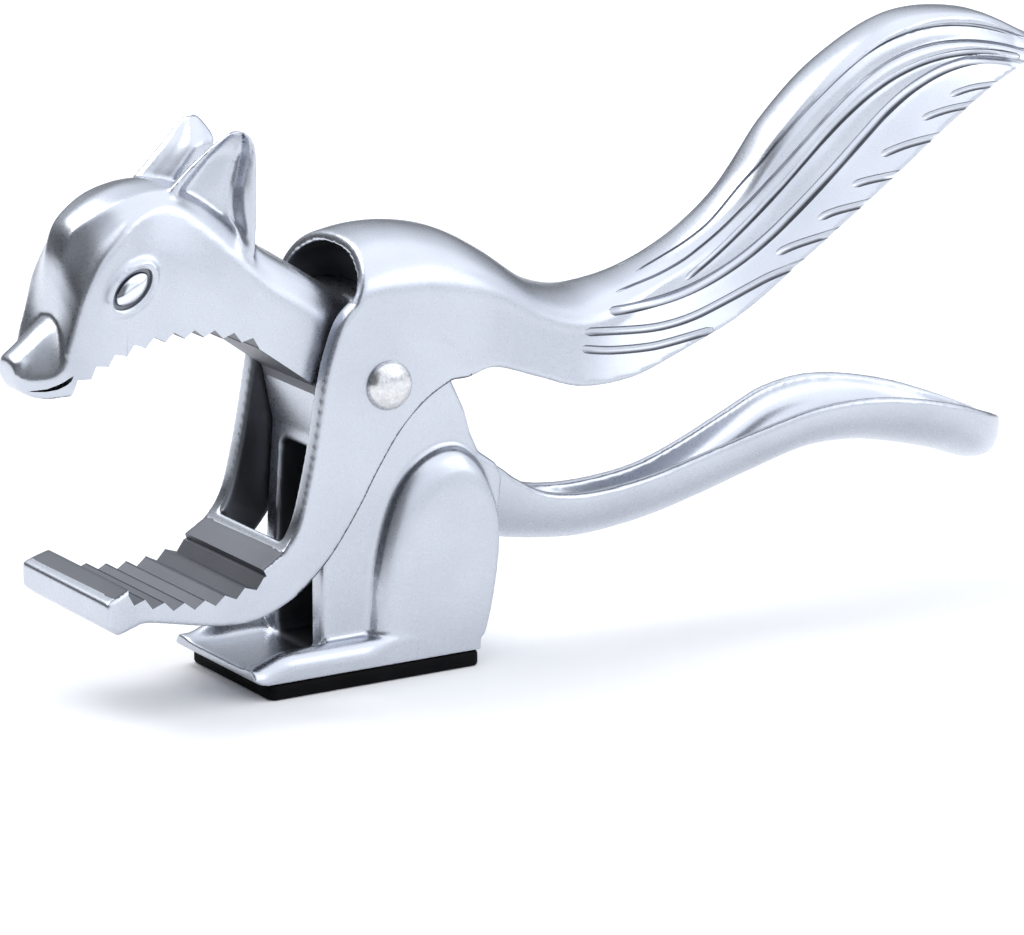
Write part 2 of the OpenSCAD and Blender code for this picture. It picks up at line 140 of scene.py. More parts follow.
def skin(name, rings):
    """A closed solid over rings that have the same number of points, each ring a closed outline."""
    rings = np.array(rings, float)
    m, n = rings.shape[:2]
    faces = [tuple(range(n)), tuple((m - 1) * n + k for k in reversed(range(n)))]
    for i in range(m - 1):
        for k in range(n):
            j = (k + 1) % n
            faces.append((i * n + k, (i + 1) * n + k, (i + 1) * n + j, i * n + j))
    return new_object(name, rings.reshape(-1, 3), faces)


def plate(name, outline, y_from, y_to, edge=0.0):
    """A side view outline made solid between two Y planes, with its rims rounded by edge."""
    outline = [tuple(p) for p in outline]
    n = len(outline)
    verts = [(x, y_from, z) for x, z in outline] + [(x, y_to, z) for x, z in outline]
    faces = [tuple(range(n)), tuple(n + k for k in reversed(range(n)))]
    faces += [(k, n + k, n + (k + 1) % n, (k + 1) % n) for k in range(n)]
    obj = new_object(name, verts, faces)
    if edge > 0:
        bevel = obj.modifiers.new("rim", "BEVEL")
        bevel.width, bevel.segments = edge * MM, 3
        bevel.limit_method, bevel.angle_limit = "ANGLE", math.radians(50)
        bevel.use_clamp_overlap = False
        apply_modifiers(obj)
    return obj


def closed_bead(name, path, radius, sides=10):
    """A round bead along a closed path."""
    p = np.array(path, float)
    n = len(p)
    rings = []
    for i in range(n):
        t = p[(i + 1) % n] - p[i - 1]
        t = t / np.linalg.norm(t)
        side = np.cross(t, [0, 1, 0])
        side = side / np.linalg.norm(side)
        up = np.cross(side, t)
        rings.append([p[i] + radius * (math.cos(a) * side + math.sin(a) * up) for a in around(sides)])
    faces = []
    for i in range(n):
        for k in range(sides):
            a, b = i * sides, ((i + 1) % n) * sides
            j = (k + 1) % sides
            faces.append((a + k, b + k, b + j, a + j))
    return new_object(name, np.array(rings).reshape(-1, 3), faces)


def mirrored(obj):
    """A copy of obj on the other side of the middle plane."""
    mesh = obj.data.copy()
    mesh.transform(Matrix.Scale(-1, 4, (0, 1, 0)))
    twin = put_in_scene(obj.name, mesh)
    face_out(twin)
    return twin


# ---- mesh tools ----------------------------------------------------------------------------

def apply_modifiers(obj):
    bpy.context.view_layer.update()
    graph = bpy.context.evaluated_depsgraph_get()
    made = bpy.data.meshes.new_from_object(obj.evaluated_get(graph), depsgraph=graph)
    old = obj.data
    obj.modifiers.clear()
    obj.data = made
    bpy.data.meshes.remove(old)


def join(name, objs):
    """One object with all the shells of objs, which are removed."""
    bm = bmesh.new()
    for o in objs:
        bm.from_mesh(o.data)
    mesh = bpy.data.meshes.new(name)
    bm.to_mesh(mesh)
    bm.free()
    for o in objs:
        bpy.data.objects.remove(o)
    return put_in_scene(name, mesh)


def fuse(obj, cell, rounds):
    """Makes one skin of overlapping shells, as a casting is one piece, and softens its edges."""
    remesh = obj.modifiers.new("fuse", "REMESH")
    remesh.mode, remesh.voxel_size, remesh.use_smooth_shade = "VOXEL", cell * MM, True
    if rounds:
        soften = obj.modifiers.new("soften", "SMOOTH")
        soften.factor, soften.iterations = 0.5, rounds
    apply_modifiers(obj)


def carve(obj, cutters):
    for c in cutters:
        cut = obj.modifiers.new("cut", "BOOLEAN")
        cut.operation, cut.object, cut.solver = "DIFFERENCE", c, "MANIFOLD"
        apply_modifiers(obj)
        bpy.data.objects.remove(c)


def drop_doubled_faces(obj):
    """Removes pairs of faces that lie on each other, which a cut can leave behind."""
    bm = bmesh.new()
    bm.from_mesh(obj.data)
    same = {}
    for face in bm.faces:
        same.setdefault(tuple(sorted(v.index for v in face.verts)), []).append(face)
    doubled = [face for faces in same.values() if len(faces) > 1 for face in faces]
    bmesh.ops.delete(bm, geom=doubled, context="FACES")
    bm.to_mesh(obj.data)
    bm.free()


def thin_out(obj, triangles):
    obj.data.calc_loop_triangles()
    now = len(obj.data.loop_triangles)
    if now > triangles:
        thin = obj.modifiers.new("thin", "DECIMATE")
        thin.ratio = triangles / now
        apply_modifiers(obj)


def shade(obj, angle=54):
    obj.data.polygons.foreach_set("use_smooth", [True] * len(obj.data.polygons))
    obj.data.set_sharp_from_angle(angle=math.radians(angle))
    obj.data.update()


def dress(obj, name, material, slot, body, *nodes):
    """Names a finished piece, gives it its finish and lets it ride on its body."""
    obj.name = obj.data.name = name
    obj.data.materials.clear()
    obj.data.materials.append(material)
    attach(obj, body)
    if nodes:
        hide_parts(*nodes)
    return obj


def coordinates(obj):
    co = np.empty(len(obj.data.vertices) * 3, np.float32)
    obj.data.vertices.foreach_get("co", co)
    return co.reshape(-1, 3).astype(float) / MM


def normals(obj):
    no = np.empty(len(obj.data.vertices) * 3, np.float32)
    obj.data.vertex_normals.foreach_get("vector", no)
    return no.reshape(-1, 3).astype(float)


def set_coordinates(obj, co):
    obj.data.vertices.foreach_set("co", (co * MM).astype(np.float32).ravel())
    obj.data.update()


def between_teeth(centre, out, arc_centre, upwards):
    """The faces of the notches of one jaw, which get painted shade."""
    reach = np.hypot(centre[:, 0] - arc_centre[0], centre[:, 2] - arc_centre[1])
    return ((np.abs(out[:, 1]) < 0.5) & (centre[:, 0] < -7) & (np.abs(reach - TEETH_R) < 1.35)
            & (upwards * (centre[:, 2] - arc_centre[1]) > 10))


def mouth_roof(centre, out):
    """The faces over the mouth, from behind the nose to the throat, which get painted shade."""
    return (out[:, 2] < -0.4) & (np.abs(out[:, 1]) < 0.5) & (centre[:, 2] > 44) & (np.abs(centre[:, 0] + 23.5) < 16.5)


def arm_edge(centre, out):
    """The rim of the arm where it lies over the torso, which gets a painted shadow line."""
    gap = np.full(len(centre), 9.0)
    for x, z in smooth(ARM_BACK, 6):
        if x > -13:
            gap = np.minimum(gap, np.hypot(centre[:, 0] - x, centre[:, 2] - z))
    return (gap < 0.8) & (np.abs(out[:, 1]) < 0.93)


def set_painted_shade(obj, share, face_share):
    """Stores how much painted shade each corner of the mesh gets, from shares for its points and for its faces."""
    mesh = obj.data
    corner = np.empty(len(mesh.loops), int)
    mesh.loops.foreach_get("vertex_index", corner)
    total, out, centre = (np.empty(len(mesh.polygons) * k, kind) for k, kind in ((1, int), (3, float), (3, float)))
    mesh.polygons.foreach_get("loop_total", total)
    mesh.polygons.foreach_get("normal", out)
    mesh.polygons.foreach_get("center", centre)
    on_face = np.repeat(face_share(centre.reshape(-1, 3) / MM, out.reshape(-1, 3)), total)
    layer = mesh.attributes.new("painted_shade", "FLOAT", "CORNER")
    value = np.maximum(share[corner], on_face)
    layer.data.foreach_set("value", np.clip(value, 0, 1).astype(np.float32))


def step_up(v, low, high):
    t = np.clip((v - low) / (high - low), 0, 1)
    return t * t * (3 - 2 * t)


# ---- finishes ------------------------------------------------------------------------------

class Tree:
    """Short calls for a node tree."""

    def __init__(self, tree):
        self.tree = tree

    def node(self, kind, **inputs):
        n = self.tree.nodes.new(kind)
        for key in [k for k in inputs if hasattr(n, k) and not k[0].isupper()]:
            setattr(n, key, inputs.pop(key))
        for key, value in inputs.items():
            self.put(n, key, value)
        return n

    def put(self, n, key, value):
        key = key.replace("_", " ")
        socket = n.inputs[int(key[1:])] if key[0] == "i" and key[1:].isdigit() else n.inputs[key]
        if isinstance(value, bpy.types.NodeSocket):
            self.tree.links.new(value, socket)
        else:
            socket.default_value = value


def new_material(name):
    m = bpy.data.materials.new(name)
    m.use_nodes = True
    m.node_tree.nodes.clear()
    t = Tree(m.node_tree)
    out = t.node("ShaderNodeOutputMaterial")
    bsdf = t.node("ShaderNodeBsdfPrincipled")
    m.node_tree.links.new(bsdf.outputs[0], out.inputs["Surface"])
    coord = t.node("ShaderNodeTexCoord")
    return m, t, bsdf, coord.outputs["Object"]


def grain(t, where, scale, detail=2.0, rough=0.5):
    n = t.node("ShaderNodeTexNoise", Vector=where, Scale=scale, Detail=detail, Roughness=rough)
    return n.outputs["Fac"]


def span(t, value, low, high, to_low, to_high):
    n = t.node("ShaderNodeMapRange", Value=value)
    for key, v in (("From Min", low), ("From Max", high), ("To Min", to_low), ("To Max", to_high)):
        n.inputs[key].default_value = v
    return n.outputs[0]


def mix_color(t, factor, a, b):
    n = t.node("ShaderNodeMix", data_type="RGBA")
    for socket, v in ((n.inputs[0], factor), (n.inputs[6], a), (n.inputs[7], b)):
        if isinstance(v, bpy.types.NodeSocket):
            t.tree.links.new(v, socket)
        else:
            socket.default_value = v
    return n.outputs[2]


def tones(t, factor, color, low, high=1.0):
    """From a darker to a lighter tone of one colour."""
    return mix_color(t, factor, *((*[min(1.0, c * k) for c in color], 1) for k in (low, high)))


def finish_with(t, bsdf, color, metallic, roughness, height, strength, distance):
    """Sets the colour, the roughness and the fine relief of a finish."""
    t.put(bsdf, "Base_Color", color)
    bsdf.inputs["Metallic"].default_value = metallic
    t.put(bsdf, "Roughness", roughness)
    bump = t.node("ShaderNodeBump", Strength=strength, Distance=distance, Height=height)
    t.put(bsdf, "Normal", bump.outputs[0])


def plated_zinc(name, color, roughness, grain_mm, painted_shade_color):
    """Satin plating on die-cast zinc: soft waves from polishing, fine blasted grain, and painted shade, a near-black
    colour made a little rougher, where the stored shade share says.
    """
    m, t, bsdf, where = new_material(name)
    wave = grain(t, where, 55.0, 3.0)
    fine = grain(t, where, 1 / (grain_mm * MM), 2.0)
    base = tones(t, span(t, wave, 0.3, 0.7, 0, 1), color, 0.93, 1.05)
    # Painted shade: the stored share mixes the plating towards the near-black shade colour and roughens it a little.
    painted_shade = t.node("ShaderNodeAttribute", attribute_name="painted_shade").outputs["Fac"]
    t.put(bsdf, "Base_Color", mix_color(t, painted_shade, base, (*painted_shade_color, 1)))
    bsdf.inputs["Metallic"].default_value = 1.0
    rough = span(t, fine, 0.2, 0.8, roughness * 0.86, roughness * 1.16)
    more = t.node("ShaderNodeMath", operation="MULTIPLY_ADD", i0=painted_shade, i1=0.25, i2=rough)
    t.put(bsdf, "Roughness", more.outputs[0])
    bump = t.node("ShaderNodeBump", Strength=0.03, Distance=0.00002, Height=fine)
    low = t.node("ShaderNodeBump", Strength=0.12, Distance=0.0003, Height=wave, Normal=bump.outputs[0])
    t.put(bsdf, "Normal", low.outputs[0])
    return m


def turned_steel(name, color, roughness):
    """Rivet steel with a peened, lightly speckled dome."""
    m, t, bsdf, where = new_material(name)
    speckle = grain(t, where, 1900.0, 3.0, 0.65)
    finish_with(t, bsdf, tones(t, span(t, speckle, 0.35, 0.7, 0, 1), color, 0.72), 1.0,
                span(t, speckle, 0.3, 0.7, roughness * 0.7, roughness * 1.5), speckle, 0.35, 0.00006)
    return m


def bright_bead(name, color):
    """Polished bead of the eye, with faint plating ripples."""
    m, t, bsdf, where = new_material(name)
    ripple = grain(t, where, 420.0, 2.0)
    finish_with(t, bsdf, tones(t, ripple, color, 0.92), 1.0, span(t, ripple, 0.3, 0.7, 0.05, 0.10), ripple, 0.2, 0.0001)
    return m


def moulded_rubber(name, color, grain_mm):
    """Black pad rubber, slightly mottled and dusty."""
    m, t, bsdf, where = new_material(name)
    mottle = grain(t, where, 160.0, 4.0)
    fine = grain(t, where, 1 / (grain_mm * MM), 2.0)
    lighter = tuple(c * 1.8 + 0.001 for c in color)
    base = mix_color(t, span(t, mottle, 0.35, 0.75, 0, 1), (*color, 1), (*lighter, 1))
    finish_with(t, bsdf, base, 0.0, span(t, mottle, 0.3, 0.7, 0.45, 0.62), fine, 0.3, 0.00008)
    bsdf.inputs["Specular IOR Level"].default_value = 0.04
    return m


def plain_moulding(name, color, metallic, roughness, scale):
    """Bearing parts: sintered bronze or natural nylon with a fine even grain."""
    m, t, bsdf, where = new_material(name)
    fine = grain(t, where, scale, 3.0)
    finish_with(t, bsdf, tones(t, fine, color, 0.85), metallic,
                span(t, fine, 0.3, 0.7, roughness * 0.85, roughness * 1.15), fine, 0.2, 0.00004)
    return m


# ---- teeth by Geometry Nodes ------------------------------------------------------------------

def tooth_tree():
    """A row of V-shaped notches on an arc in the XZ plane, one between each two teeth."""
    tree = bpy.data.node_groups.new("tooth notches", "GeometryNodeTree")
    face = tree.interface
    face.new_socket("Geometry", in_out="OUTPUT", socket_type="NodeSocketGeometry")
    for name, kind, value in (("Count", "Int", 8), ("Start Angle", "Float", 0.0), ("Step Angle", "Float", 0.1),
                              ("Arc Radius", "Float", 0.027), ("Notch Width", "Float", 0.003),
                              ("Notch Depth", "Float", 0.001), ("Row Width", "Float", 0.025),
                              ("Upwards", "Float", 1.0)):
        s = face.new_socket(name, in_out="INPUT", socket_type="NodeSocket" + kind)
        s.default_value = value
    face.new_socket("Material", in_out="INPUT", socket_type="NodeSocketMaterial")
    t = Tree(tree)
    given = t.node("NodeGroupInput").outputs

    def calc(operation, a, b=0.0, c=0.0):
        return t.node("ShaderNodeMath", operation=operation, i0=a, i1=b, i2=c).outputs[0]

    index = t.node("GeometryNodeInputIndex").outputs[0]
    angle = calc("MULTIPLY_ADD", calc("ADD", index, 0.5), given["Step Angle"], given["Start Angle"])
    place = t.node("ShaderNodeCombineXYZ",
                   X=calc("MULTIPLY", calc("SINE", angle), given["Arc Radius"]),
                   Z=calc("MULTIPLY", calc("MULTIPLY", calc("COSINE", angle), given["Arc Radius"]), given["Upwards"]))
    points = t.node("GeometryNodePoints", Count=given["Count"], Position=place.outputs[0])
    cube = t.node("GeometryNodeMeshCube")
    turned = t.node("GeometryNodeTransform", Geometry=cube.outputs[0], Rotation=(0, math.pi / 4, 0))
    half = math.sqrt(0.5)
    size = t.node("ShaderNodeCombineXYZ", X=calc("MULTIPLY", given["Notch Width"], 0.5 / half),
                  Y=given["Row Width"], Z=calc("MULTIPLY", given["Notch Depth"], 1 / half))
    shaped = t.node("GeometryNodeTransform", Geometry=turned.outputs[0], Scale=size.outputs[0])
    tilt = t.node("ShaderNodeCombineXYZ", Y=calc("MULTIPLY", angle, given["Upwards"]))
    row = t.node("GeometryNodeInstanceOnPoints", Points=points.outputs[0], Instance=shaped.outputs[0],
                 Rotation=tilt.outputs[0])
    real = t.node("GeometryNodeRealizeInstances", Geometry=row.outputs[0])
    painted = t.node("GeometryNodeSetMaterial", Geometry=real.outputs[0], Material=given["Material"])
    tree.links.new(painted.outputs[0], t.node("NodeGroupOutput").inputs[0])
    return tree


def tooth_notches(name, centre, angles, upwards, jaw, material):
    """The notches of one jaw as a plain mesh, each shell closed."""
    from_deg, to_deg = angles
    count = round((to_deg - from_deg) / math.degrees(jaw.tooth_pitch / (TEETH_R * MM)))
    step = math.radians((to_deg - from_deg) / count)
    obj = put_in_scene(name, bpy.data.meshes.new(name))
    tree = bpy.data.node_groups.get("tooth notches") or tooth_tree()
    mod = obj.modifiers.new("notches", "NODES")
    mod.node_group = tree
    given = {"Count": count, "Start Angle": math.radians(from_deg), "Step Angle": step,
             "Arc Radius": TEETH_R * MM, "Notch Width": jaw.tooth_pitch * 1.02, "Notch Depth": jaw.tooth_depth,
             "Row Width": 0.0256, "Upwards": upwards, "Material": material}
    for item in tree.interface.items_tree:
        if item.in_out == "INPUT" and item.name in given:
            mod[item.identifier] = given[item.name]
    apply_modifiers(obj)
    obj.data.transform(Matrix.Translation((centre[0] * MM, 0, centre[1] * MM)))
    face_out(obj)
    return obj


# ---- body casting ------------------------------------------------------------------------------

# Blades of the head, fanned from the mouth to the outline of the face, from nose to neck, in mm:
# root x, z, half width; brow x, z, half width; ridge x, z, half width; crown x, z
HEAD_BLADES = [
    (-52.9, 50.9, 0.5, -52.95, 51.3, 0.9, -52.95, 51.9, 0.5, -52.95, 52.1),
    (-52.4, 49.4, 2.0, -52.8, 50.9, 2.9, -52.7, 52.7, 1.9, -52.7, 53.1),
    (-51.3, 48.1, 3.4, -51.6, 50.4, 4.3, -51.5, 53.5, 2.4, -51.5, 54.0),
    (-49.7, 47.5, 4.9, -50.0, 50.7, 5.7, -49.8, 54.7, 2.5, -49.8, 55.3),
    (-48.2, 47.6, 6.3, -48.4, 51.4, 7.0, -48.0, 56.2, 2.5, -48.0, 56.8),
    (-47.1, 47.9, 7.4, -47.6, 52.8, 7.6, -46.4, 57.4, 2.4, -46.3, 57.9),
    (-46.2, 48.1, 8.1, -47.2, 54.6, 7.6, -45.8, 58.2, 1.6, -45.7, 58.5),
    (-45.0, 48.2, 8.5, -46.4, 57.0, 7.6, -45.8, 60.2, 1.2, -45.8, 60.6),
    (-43.6, 48.3, 8.7, -45.5, 59.6, 7.8, -45.8, 63.6, 1.5, -45.8, 63.9),
    (-42.0, 48.35, 8.7, -44.4, 62.6, 8.1, -45.2, 67.3, 2.3, -45.2, 67.6),
    (-40.2, 48.35, 8.7, -41.8, 67.0, 8.3, -43.4, 70.8, 3.2, -43.5, 71.3),
    (-38.0, 48.35, 8.7, -38.9, 69.9, 8.3, -40.3, 73.0, 4.2, -40.3, 73.7),
    (-35.4, 48.35, 8.7, -36.2, 72.2, 7.8, -36.9, 74.4, 5.0, -36.9, 75.2),
    (-31.9, 48.35, 8.7, -32.6, 73.5, 7.0, -32.6, 75.3, 5.2, -32.6, 76.2),
    (-28.4, 48.35, 8.7, -28.6, 72.8, 7.0, -28.7, 75.2, 4.8, -28.7, 76.2),
    (-24.0, 48.35, 8.7, -24.0, 69.0, 7.7, -24.0, 73.0, 5.4, -24.0, 74.5),
    (-19.2, 48.0, 8.7, -19.0, 63.8, 8.4, -19.0, 68.8, 6.2, -19.0, 70.6),
    (-15.0, 46.0, 8.7, -14.6, 59.4, 8.6, -14.6, 64.7, 6.7, -14.6, 66.4),
    (-10.0, 44.8, 8.7, -10.0, 56.8, 8.4, -10.0, 61.7, 6.5, -10.0, 63.3),
    (-5.0, 44.75, 8.4, -5.0, 53.6, 8.3, -5.0, 58.4, 6.4, -5.0, 60.0),
    (1.0, 44.75, 8.4, 1.0, 49.8, 8.3, 1.0, 54.3, 6.3, 1.0, 55.9)]


def nose_boss():
    """The small round boss on each side of the nose."""
    rings = []
    for share, out in ((1.0, -0.9), (1.0, 0.05), (0.86, 0.3), (0.55, 0.42), (0.1, 0.45)):
        rings.append([(-51.35 + 1.15 * share * math.cos(a) - 0.5 * out, 2.6 + out, 52.2 + share * math.sin(a))
                      for a in around(24)])
    return skin("nose boss", rings)


def head():
    rings = []
    for ax, az, aw, bx, bz, bw, rx, rz, rw, cx, cz in smooth(HEAD_BLADES, 8):
        neck, rear = step_up(bx, -35.5, -30), step_up(bx, -27, -19)
        brow, ridge, crown = 0.4 + 1.6 * neck + 2.4 * rear, 0.4 + 2.4 * neck, 0.9 + 2.6 * neck
        side = aw + 0.66 * (bw - aw)
        side += (8.65 - side) * step_up(bx, -44, -39)
        scoop = 0.5 * (1 - neck) * step_up(bx, -48, -45.5)
        half = [(ax, -aw, az), (ax + 0.66 * (bx - ax), -side, az + 0.66 * (bz - az)), (bx, -bw, bz),
                (0.5 * (bx + rx) + 0.6 * scoop, 0.6 * scoop - 0.5 * (bw + rw), 0.5 * (bz + rz) - 0.5 * scoop),
                (rx, -rw, rz)]
        reach = [1.2, 4.0, brow, 1.6, ridge]
        rings.append(round_corners(both_sides(half, [(cx, 0, cz)]), reach + [crown] + reach[::-1]))
    return skin("head", rings)


# Slices of an ear from its root up, in mm: z, front x, front y, rear x, rear y
EAR_SLICES = [
    (63.0, -20.2, 7.4, -17.2, 8.0),
    (67.0, -24.6, 7.0, -17.1, 8.3),
    (71.0, -29.2, 6.2, -17.0, 8.5),
    (74.4, -30.0, 5.7, -17.0, 8.6),
    (77.6, -27.0, 5.8, -17.0, 8.6),
    (80.4, -23.8, 6.3, -17.1, 8.5),
    (82.2, -21.6, 7.0, -17.8, 8.3),
    (83.0, -20.4, 7.5, -18.7, 8.1)]


def ear():
    rings = []
    t = np.linspace(0, 1, 41)
    for z, fx, fy, rx, ry in smooth(EAR_SLICES, 6):
        front, rear = np.array([fx, fy]), np.array([rx, ry])
        chord = rear - front
        along = chord / np.linalg.norm(chord)
        inward = np.array([along[1], -along[0]])
        room = min(1.0, np.linalg.norm(chord) / 8)
        foot = step_up(z, 65.5, 69.5)
        bowl = 2.3 * room * step_up(t, 0.07, 0.27) * step_up(-t, -0.93, -0.72) * foot
        bowl = bowl + 0.5 * room * np.exp(-((t - 0.76) / 0.06) ** 2) * foot
        thick = 1.6 + 1.3 * np.sin(np.pi * t) ** 0.8
        hollow = [front + chord * s + inward * b for s, b in zip(t, bowl)]
        back = [front + chord * s + inward * (b + w * max(room, 0.5)) for s, b, w in zip(t, bowl, thick)]
        rings.append([(p[0], p[1], z) for p in hollow + back[::-1]])
    return skin("ear", rings)


def almond(half_long, half_high):
    """Points of an almond about the eye's centre, in the side view."""
    tilt = math.radians(38.8)
    along, across = np.array([math.cos(tilt), math.sin(tilt)]), np.array([-math.sin(tilt), math.cos(tilt)])
    out = []
    for a in around(56):
        u = math.cos(a)
        v = math.copysign(abs(math.sin(a)) ** 1.12, math.sin(a))
        out.append(EYE_CENTRE + along * u * half_long + across * v * half_high)
    return out


def eye_rim():
    return closed_bead("eye rim", [(x, 8.55, z) for x, z in almond(4.4, 2.75)], 0.5)


HAUNCH_LINE = [(0.6, 4.6), (1.0, 13.2), (2.2, 19.9), (4.4, 26.2), (7.2, 30.2), (10.8, 32.5), (14.6, 33.0),
               (17.4, 31.6), (19.7, 28.8), (21.2, 24.8), (21.6, 20.6), (21.1, 15.2), (19.9, 9.0), (18.6, 4.6)]
HAUNCH_FOOT = np.array([18.4, 4.4])


def haunch():
    line = smooth(HAUNCH_LINE, 6)
    rings = []
    for share, out in [(1.0, -0.3), (1.0, 0.0), (0.997, 0.2), (0.985, 0.4), (0.963, 0.56), (0.93, 0.71),
                       (0.885, 0.83), (0.83, 0.915), (0.77, 0.965), (0.69, 0.99), (0.5, 1.0)]:
        q = HAUNCH_FOOT + (line - HAUNCH_FOOT) * share
        y = TORSO_W + (HALF_W - TORSO_W) * out
        rings.append([(x, y, z) for x, z in q])
    return skin("haunch", rings)


BACK_LINE = [(17.3, 37.95), (18.3, 34.35), (19.7, 31.35), (22.7, 29.15)]


def torso():
    shoulders = [PIVOT + 12.2 * np.array([math.cos(a), math.sin(a)]) for a in np.radians(np.arange(100, -8, -6))]
    outline = [(-7.0, 4.6), (-7.0, 18.0), (-5.7, 36.0), tuple(THROAT), tuple(THROAT + [0, 6])]
    outline += [tuple(p) for p in shoulders] + BACK_LINE
    outline += [(23.6, 27.2), (22.8, 18.0), (20.8, 15.2), (18.5, 4.6)]
    return plate("torso", outline, -TORSO_W, TORSO_W, 0.7)


def plinth():
    """The foot: side rails that rise from the front lip, and the dished floor between them."""
    rings = []
    front, back = -20.2, 17.9
    for x in np.linspace(front, back, 60):
        low = 2.4 + 0.9 * step_up(-x, 18.6, 20.2)
        top = 4.9 + (PLINTH_TOP - 4.9) * step_up(x, front, front + 6.5)
        floor = 4.5
        r = min(2.4 - 1.9 * step_up(x, -1.5, 3.5), top - low - 0.4)
        half = [(HALF_W, low)]
        half += [(HALF_W - r + r * math.cos(a), top - r + r * math.sin(a)) for a in np.radians(np.arange(0, 91, 15))]
        half += [(9.1, top - 0.1 * (top - floor)), (8.3, top - 0.42 * (top - floor)),
                 (7.4, top - 0.8 * (top - floor)), (6.4, floor + 0.02), (4.0, floor)]
        rings.append(both_sides([(x, y, z) for y, z in half]))
    return skin("plinth", rings)


# Ribs of the lower handle, back from the pivot in mm: x, rim z, underside z, half width, trough depth
HANDLE_RIBS = [
    (13.2, -17.0, -27.4, 5.6, 0.2), (21.2, -16.4, -28.0, 5.2, 0.2), (26.4, -19.6, -29.2, 4.7, 0.2),
    (31.6, -22.4, -30.0, 4.4, 0.8), (38.2, -23.4, -30.6, 4.5, 3.0), (45.2, -23.2, -30.2, 4.2, 4.2),
    (52.2, -22.2, -29.2, 4.1, 4.6), (60.2, -20.0, -27.2, 4.9, 4.8), (69.2, -17.2, -24.4, 6.6, 5.0),
    (77.7, -14.8, -22.0, 8.5, 5.0), (86.2, -14.2, -21.9, 9.8, 5.2), (94.2, -15.2, -23.4, 10.25, 5.2),
    (102.2, -17.2, -25.6, 10.1, 5.0), (108.2, -19.3, -27.8, 8.9, 4.2), (112.2, -20.9, -28.2, 6.6, 2.4),
    (114.3, -21.8, -27.2, 3.9, 0.4), (114.8, -22.2, -25.4, 2.0, 0.2)]


def handle():
    rings = []
    for x, rim, low, w, deep in smooth(HANDLE_RIBS, 7):
        wall = 1.7 + 0.5 * step_up(-x, -60, -30)
        in_w = max(w - wall, 0.3 * w)
        floor = rim - min(deep, rim - low - wall)
        outer = [(math.cos(a) ** 0.75 * w, rim + math.sin(a) ** 0.9 * (low - rim))
                 for a in np.radians(np.linspace(0, 89.9, 16))]
        inner = [(math.cos(a) ** 0.8 * in_w, rim + math.sin(a) * (floor - rim))
                 for a in np.radians(np.linspace(0, 89.9, 12))]
        half = inner[::-1] + [(w - 0.35 * (w - in_w), rim + 0.25), (w - 0.05, rim - 0.1)] + outer[1:]
        rings.append(both_sides([(PIVOT[0] + x, y, PIVOT[1] + z) for y, z in half]))
    return skin("handle", rings)


def arc_line(centre, radius, from_deg, to_deg, upwards, steps=40):
    return [centre + radius * np.array([math.sin(a), upwards * math.cos(a)])
            for a in np.radians(np.linspace(from_deg, to_deg, steps))]


def mouth_cutter():
    arch = arc_line(UPPER_ARC, TEETH_R, *UPPER_TEETH, 1)
    back = arch[0] + [-0.9, -2.6]
    outline = [(back[0], UPPER_ARC[1]), tuple(back)] + [tuple(p) for p in arch]
    outline += [tuple(THROAT), (THROAT[0], UPPER_ARC[1])]
    return plate("mouth", outline, -13, 13)


def mouth_slit():
    """The closed line of the mouth behind the nose."""
    outline = [(-46.3, 51.3), (-46.9, 50.95), (-48.0, 50.1), (-49.4, 49.3), (-50.9, 48.95), (-51.3, 48.75),
               (-49.5, 48.85), (-48.2, 49.25), (-47.2, 49.95), (-46.6, 50.55)]
    return plate("mouth slit", outline, -10, 10)


def chest_cutter():
    w = TORSO_W - 3.5
    outline = [(-12, PLINTH_TOP - 1.9), (4.0, PLINTH_TOP - 1.9), (3.4, 29), (0, 34), (-12, 34)]
    return plate("chest hollow", outline, -w, w, 1.2)


def pivot_cutter(radius):
    points = [(PIVOT[0] + radius * math.cos(a), PIVOT[1] + radius * math.sin(a)) for a in around(48)]
    return plate("pivot hole", points, -14, 14)


def build_body(settings):
    finish = settings.finish
    metal = plated_zinc("satin plating of the body", finish.metal, finish.roughness, finish.grain * 1000,
                        finish.painted_shade)
    parts = [head(), torso(), plinth(), handle()]
    for half in (ear(), haunch(), eye_rim(), nose_boss()):
        parts += [half, mirrored(half)]
    body = join("body", parts)
    fuse(body, 0.3, 0)
    carve(body, [chest_cutter()])
    fuse(body, finish.cell * 1000, finish.softness)
    thin_out(body, 185000)
    socket = plate("eye socket", almond(*EYE_SOCKET), 8.15, 10)
    carve(body, [mouth_cutter(), mouth_slit(), mirrored(socket), socket, pivot_cutter(3.7)])
    carve(body, [tooth_notches("upper teeth", UPPER_ARC, UPPER_TEETH, 1, settings.jaws, metal)])
    drop_doubled_faces(body)
    # Painted shade: the chest hollow, a ring round each eye socket, the notches of the upper teeth and the roof of the
    # mouth are darkened where shade falls.
    x, y, z = coordinates(body).T
    chest = step_up(x, -8.5, -5.5) * step_up(-np.abs(y), -6.0, -5.0) * step_up(-z, -35, -33) * step_up(-x, -6, -4.5)
    from_socket = np.min([np.hypot(x - ex, z - ez) for ex, ez in almond(*EYE_SOCKET)], axis=0)
    eye = 0.6 * (np.abs(y) < 8.4) * (np.abs(y) > 8.05) * (from_socket < 0.9)
    set_painted_shade(body, np.maximum(chest * 0.85, eye),
               lambda c, out: 0.75 * (between_teeth(c, out, UPPER_ARC, 1) | mouth_roof(c, out)))
    shade(body)
    dress(body, "squirrel_body", metal, "cast_body", "body", "body_casting")


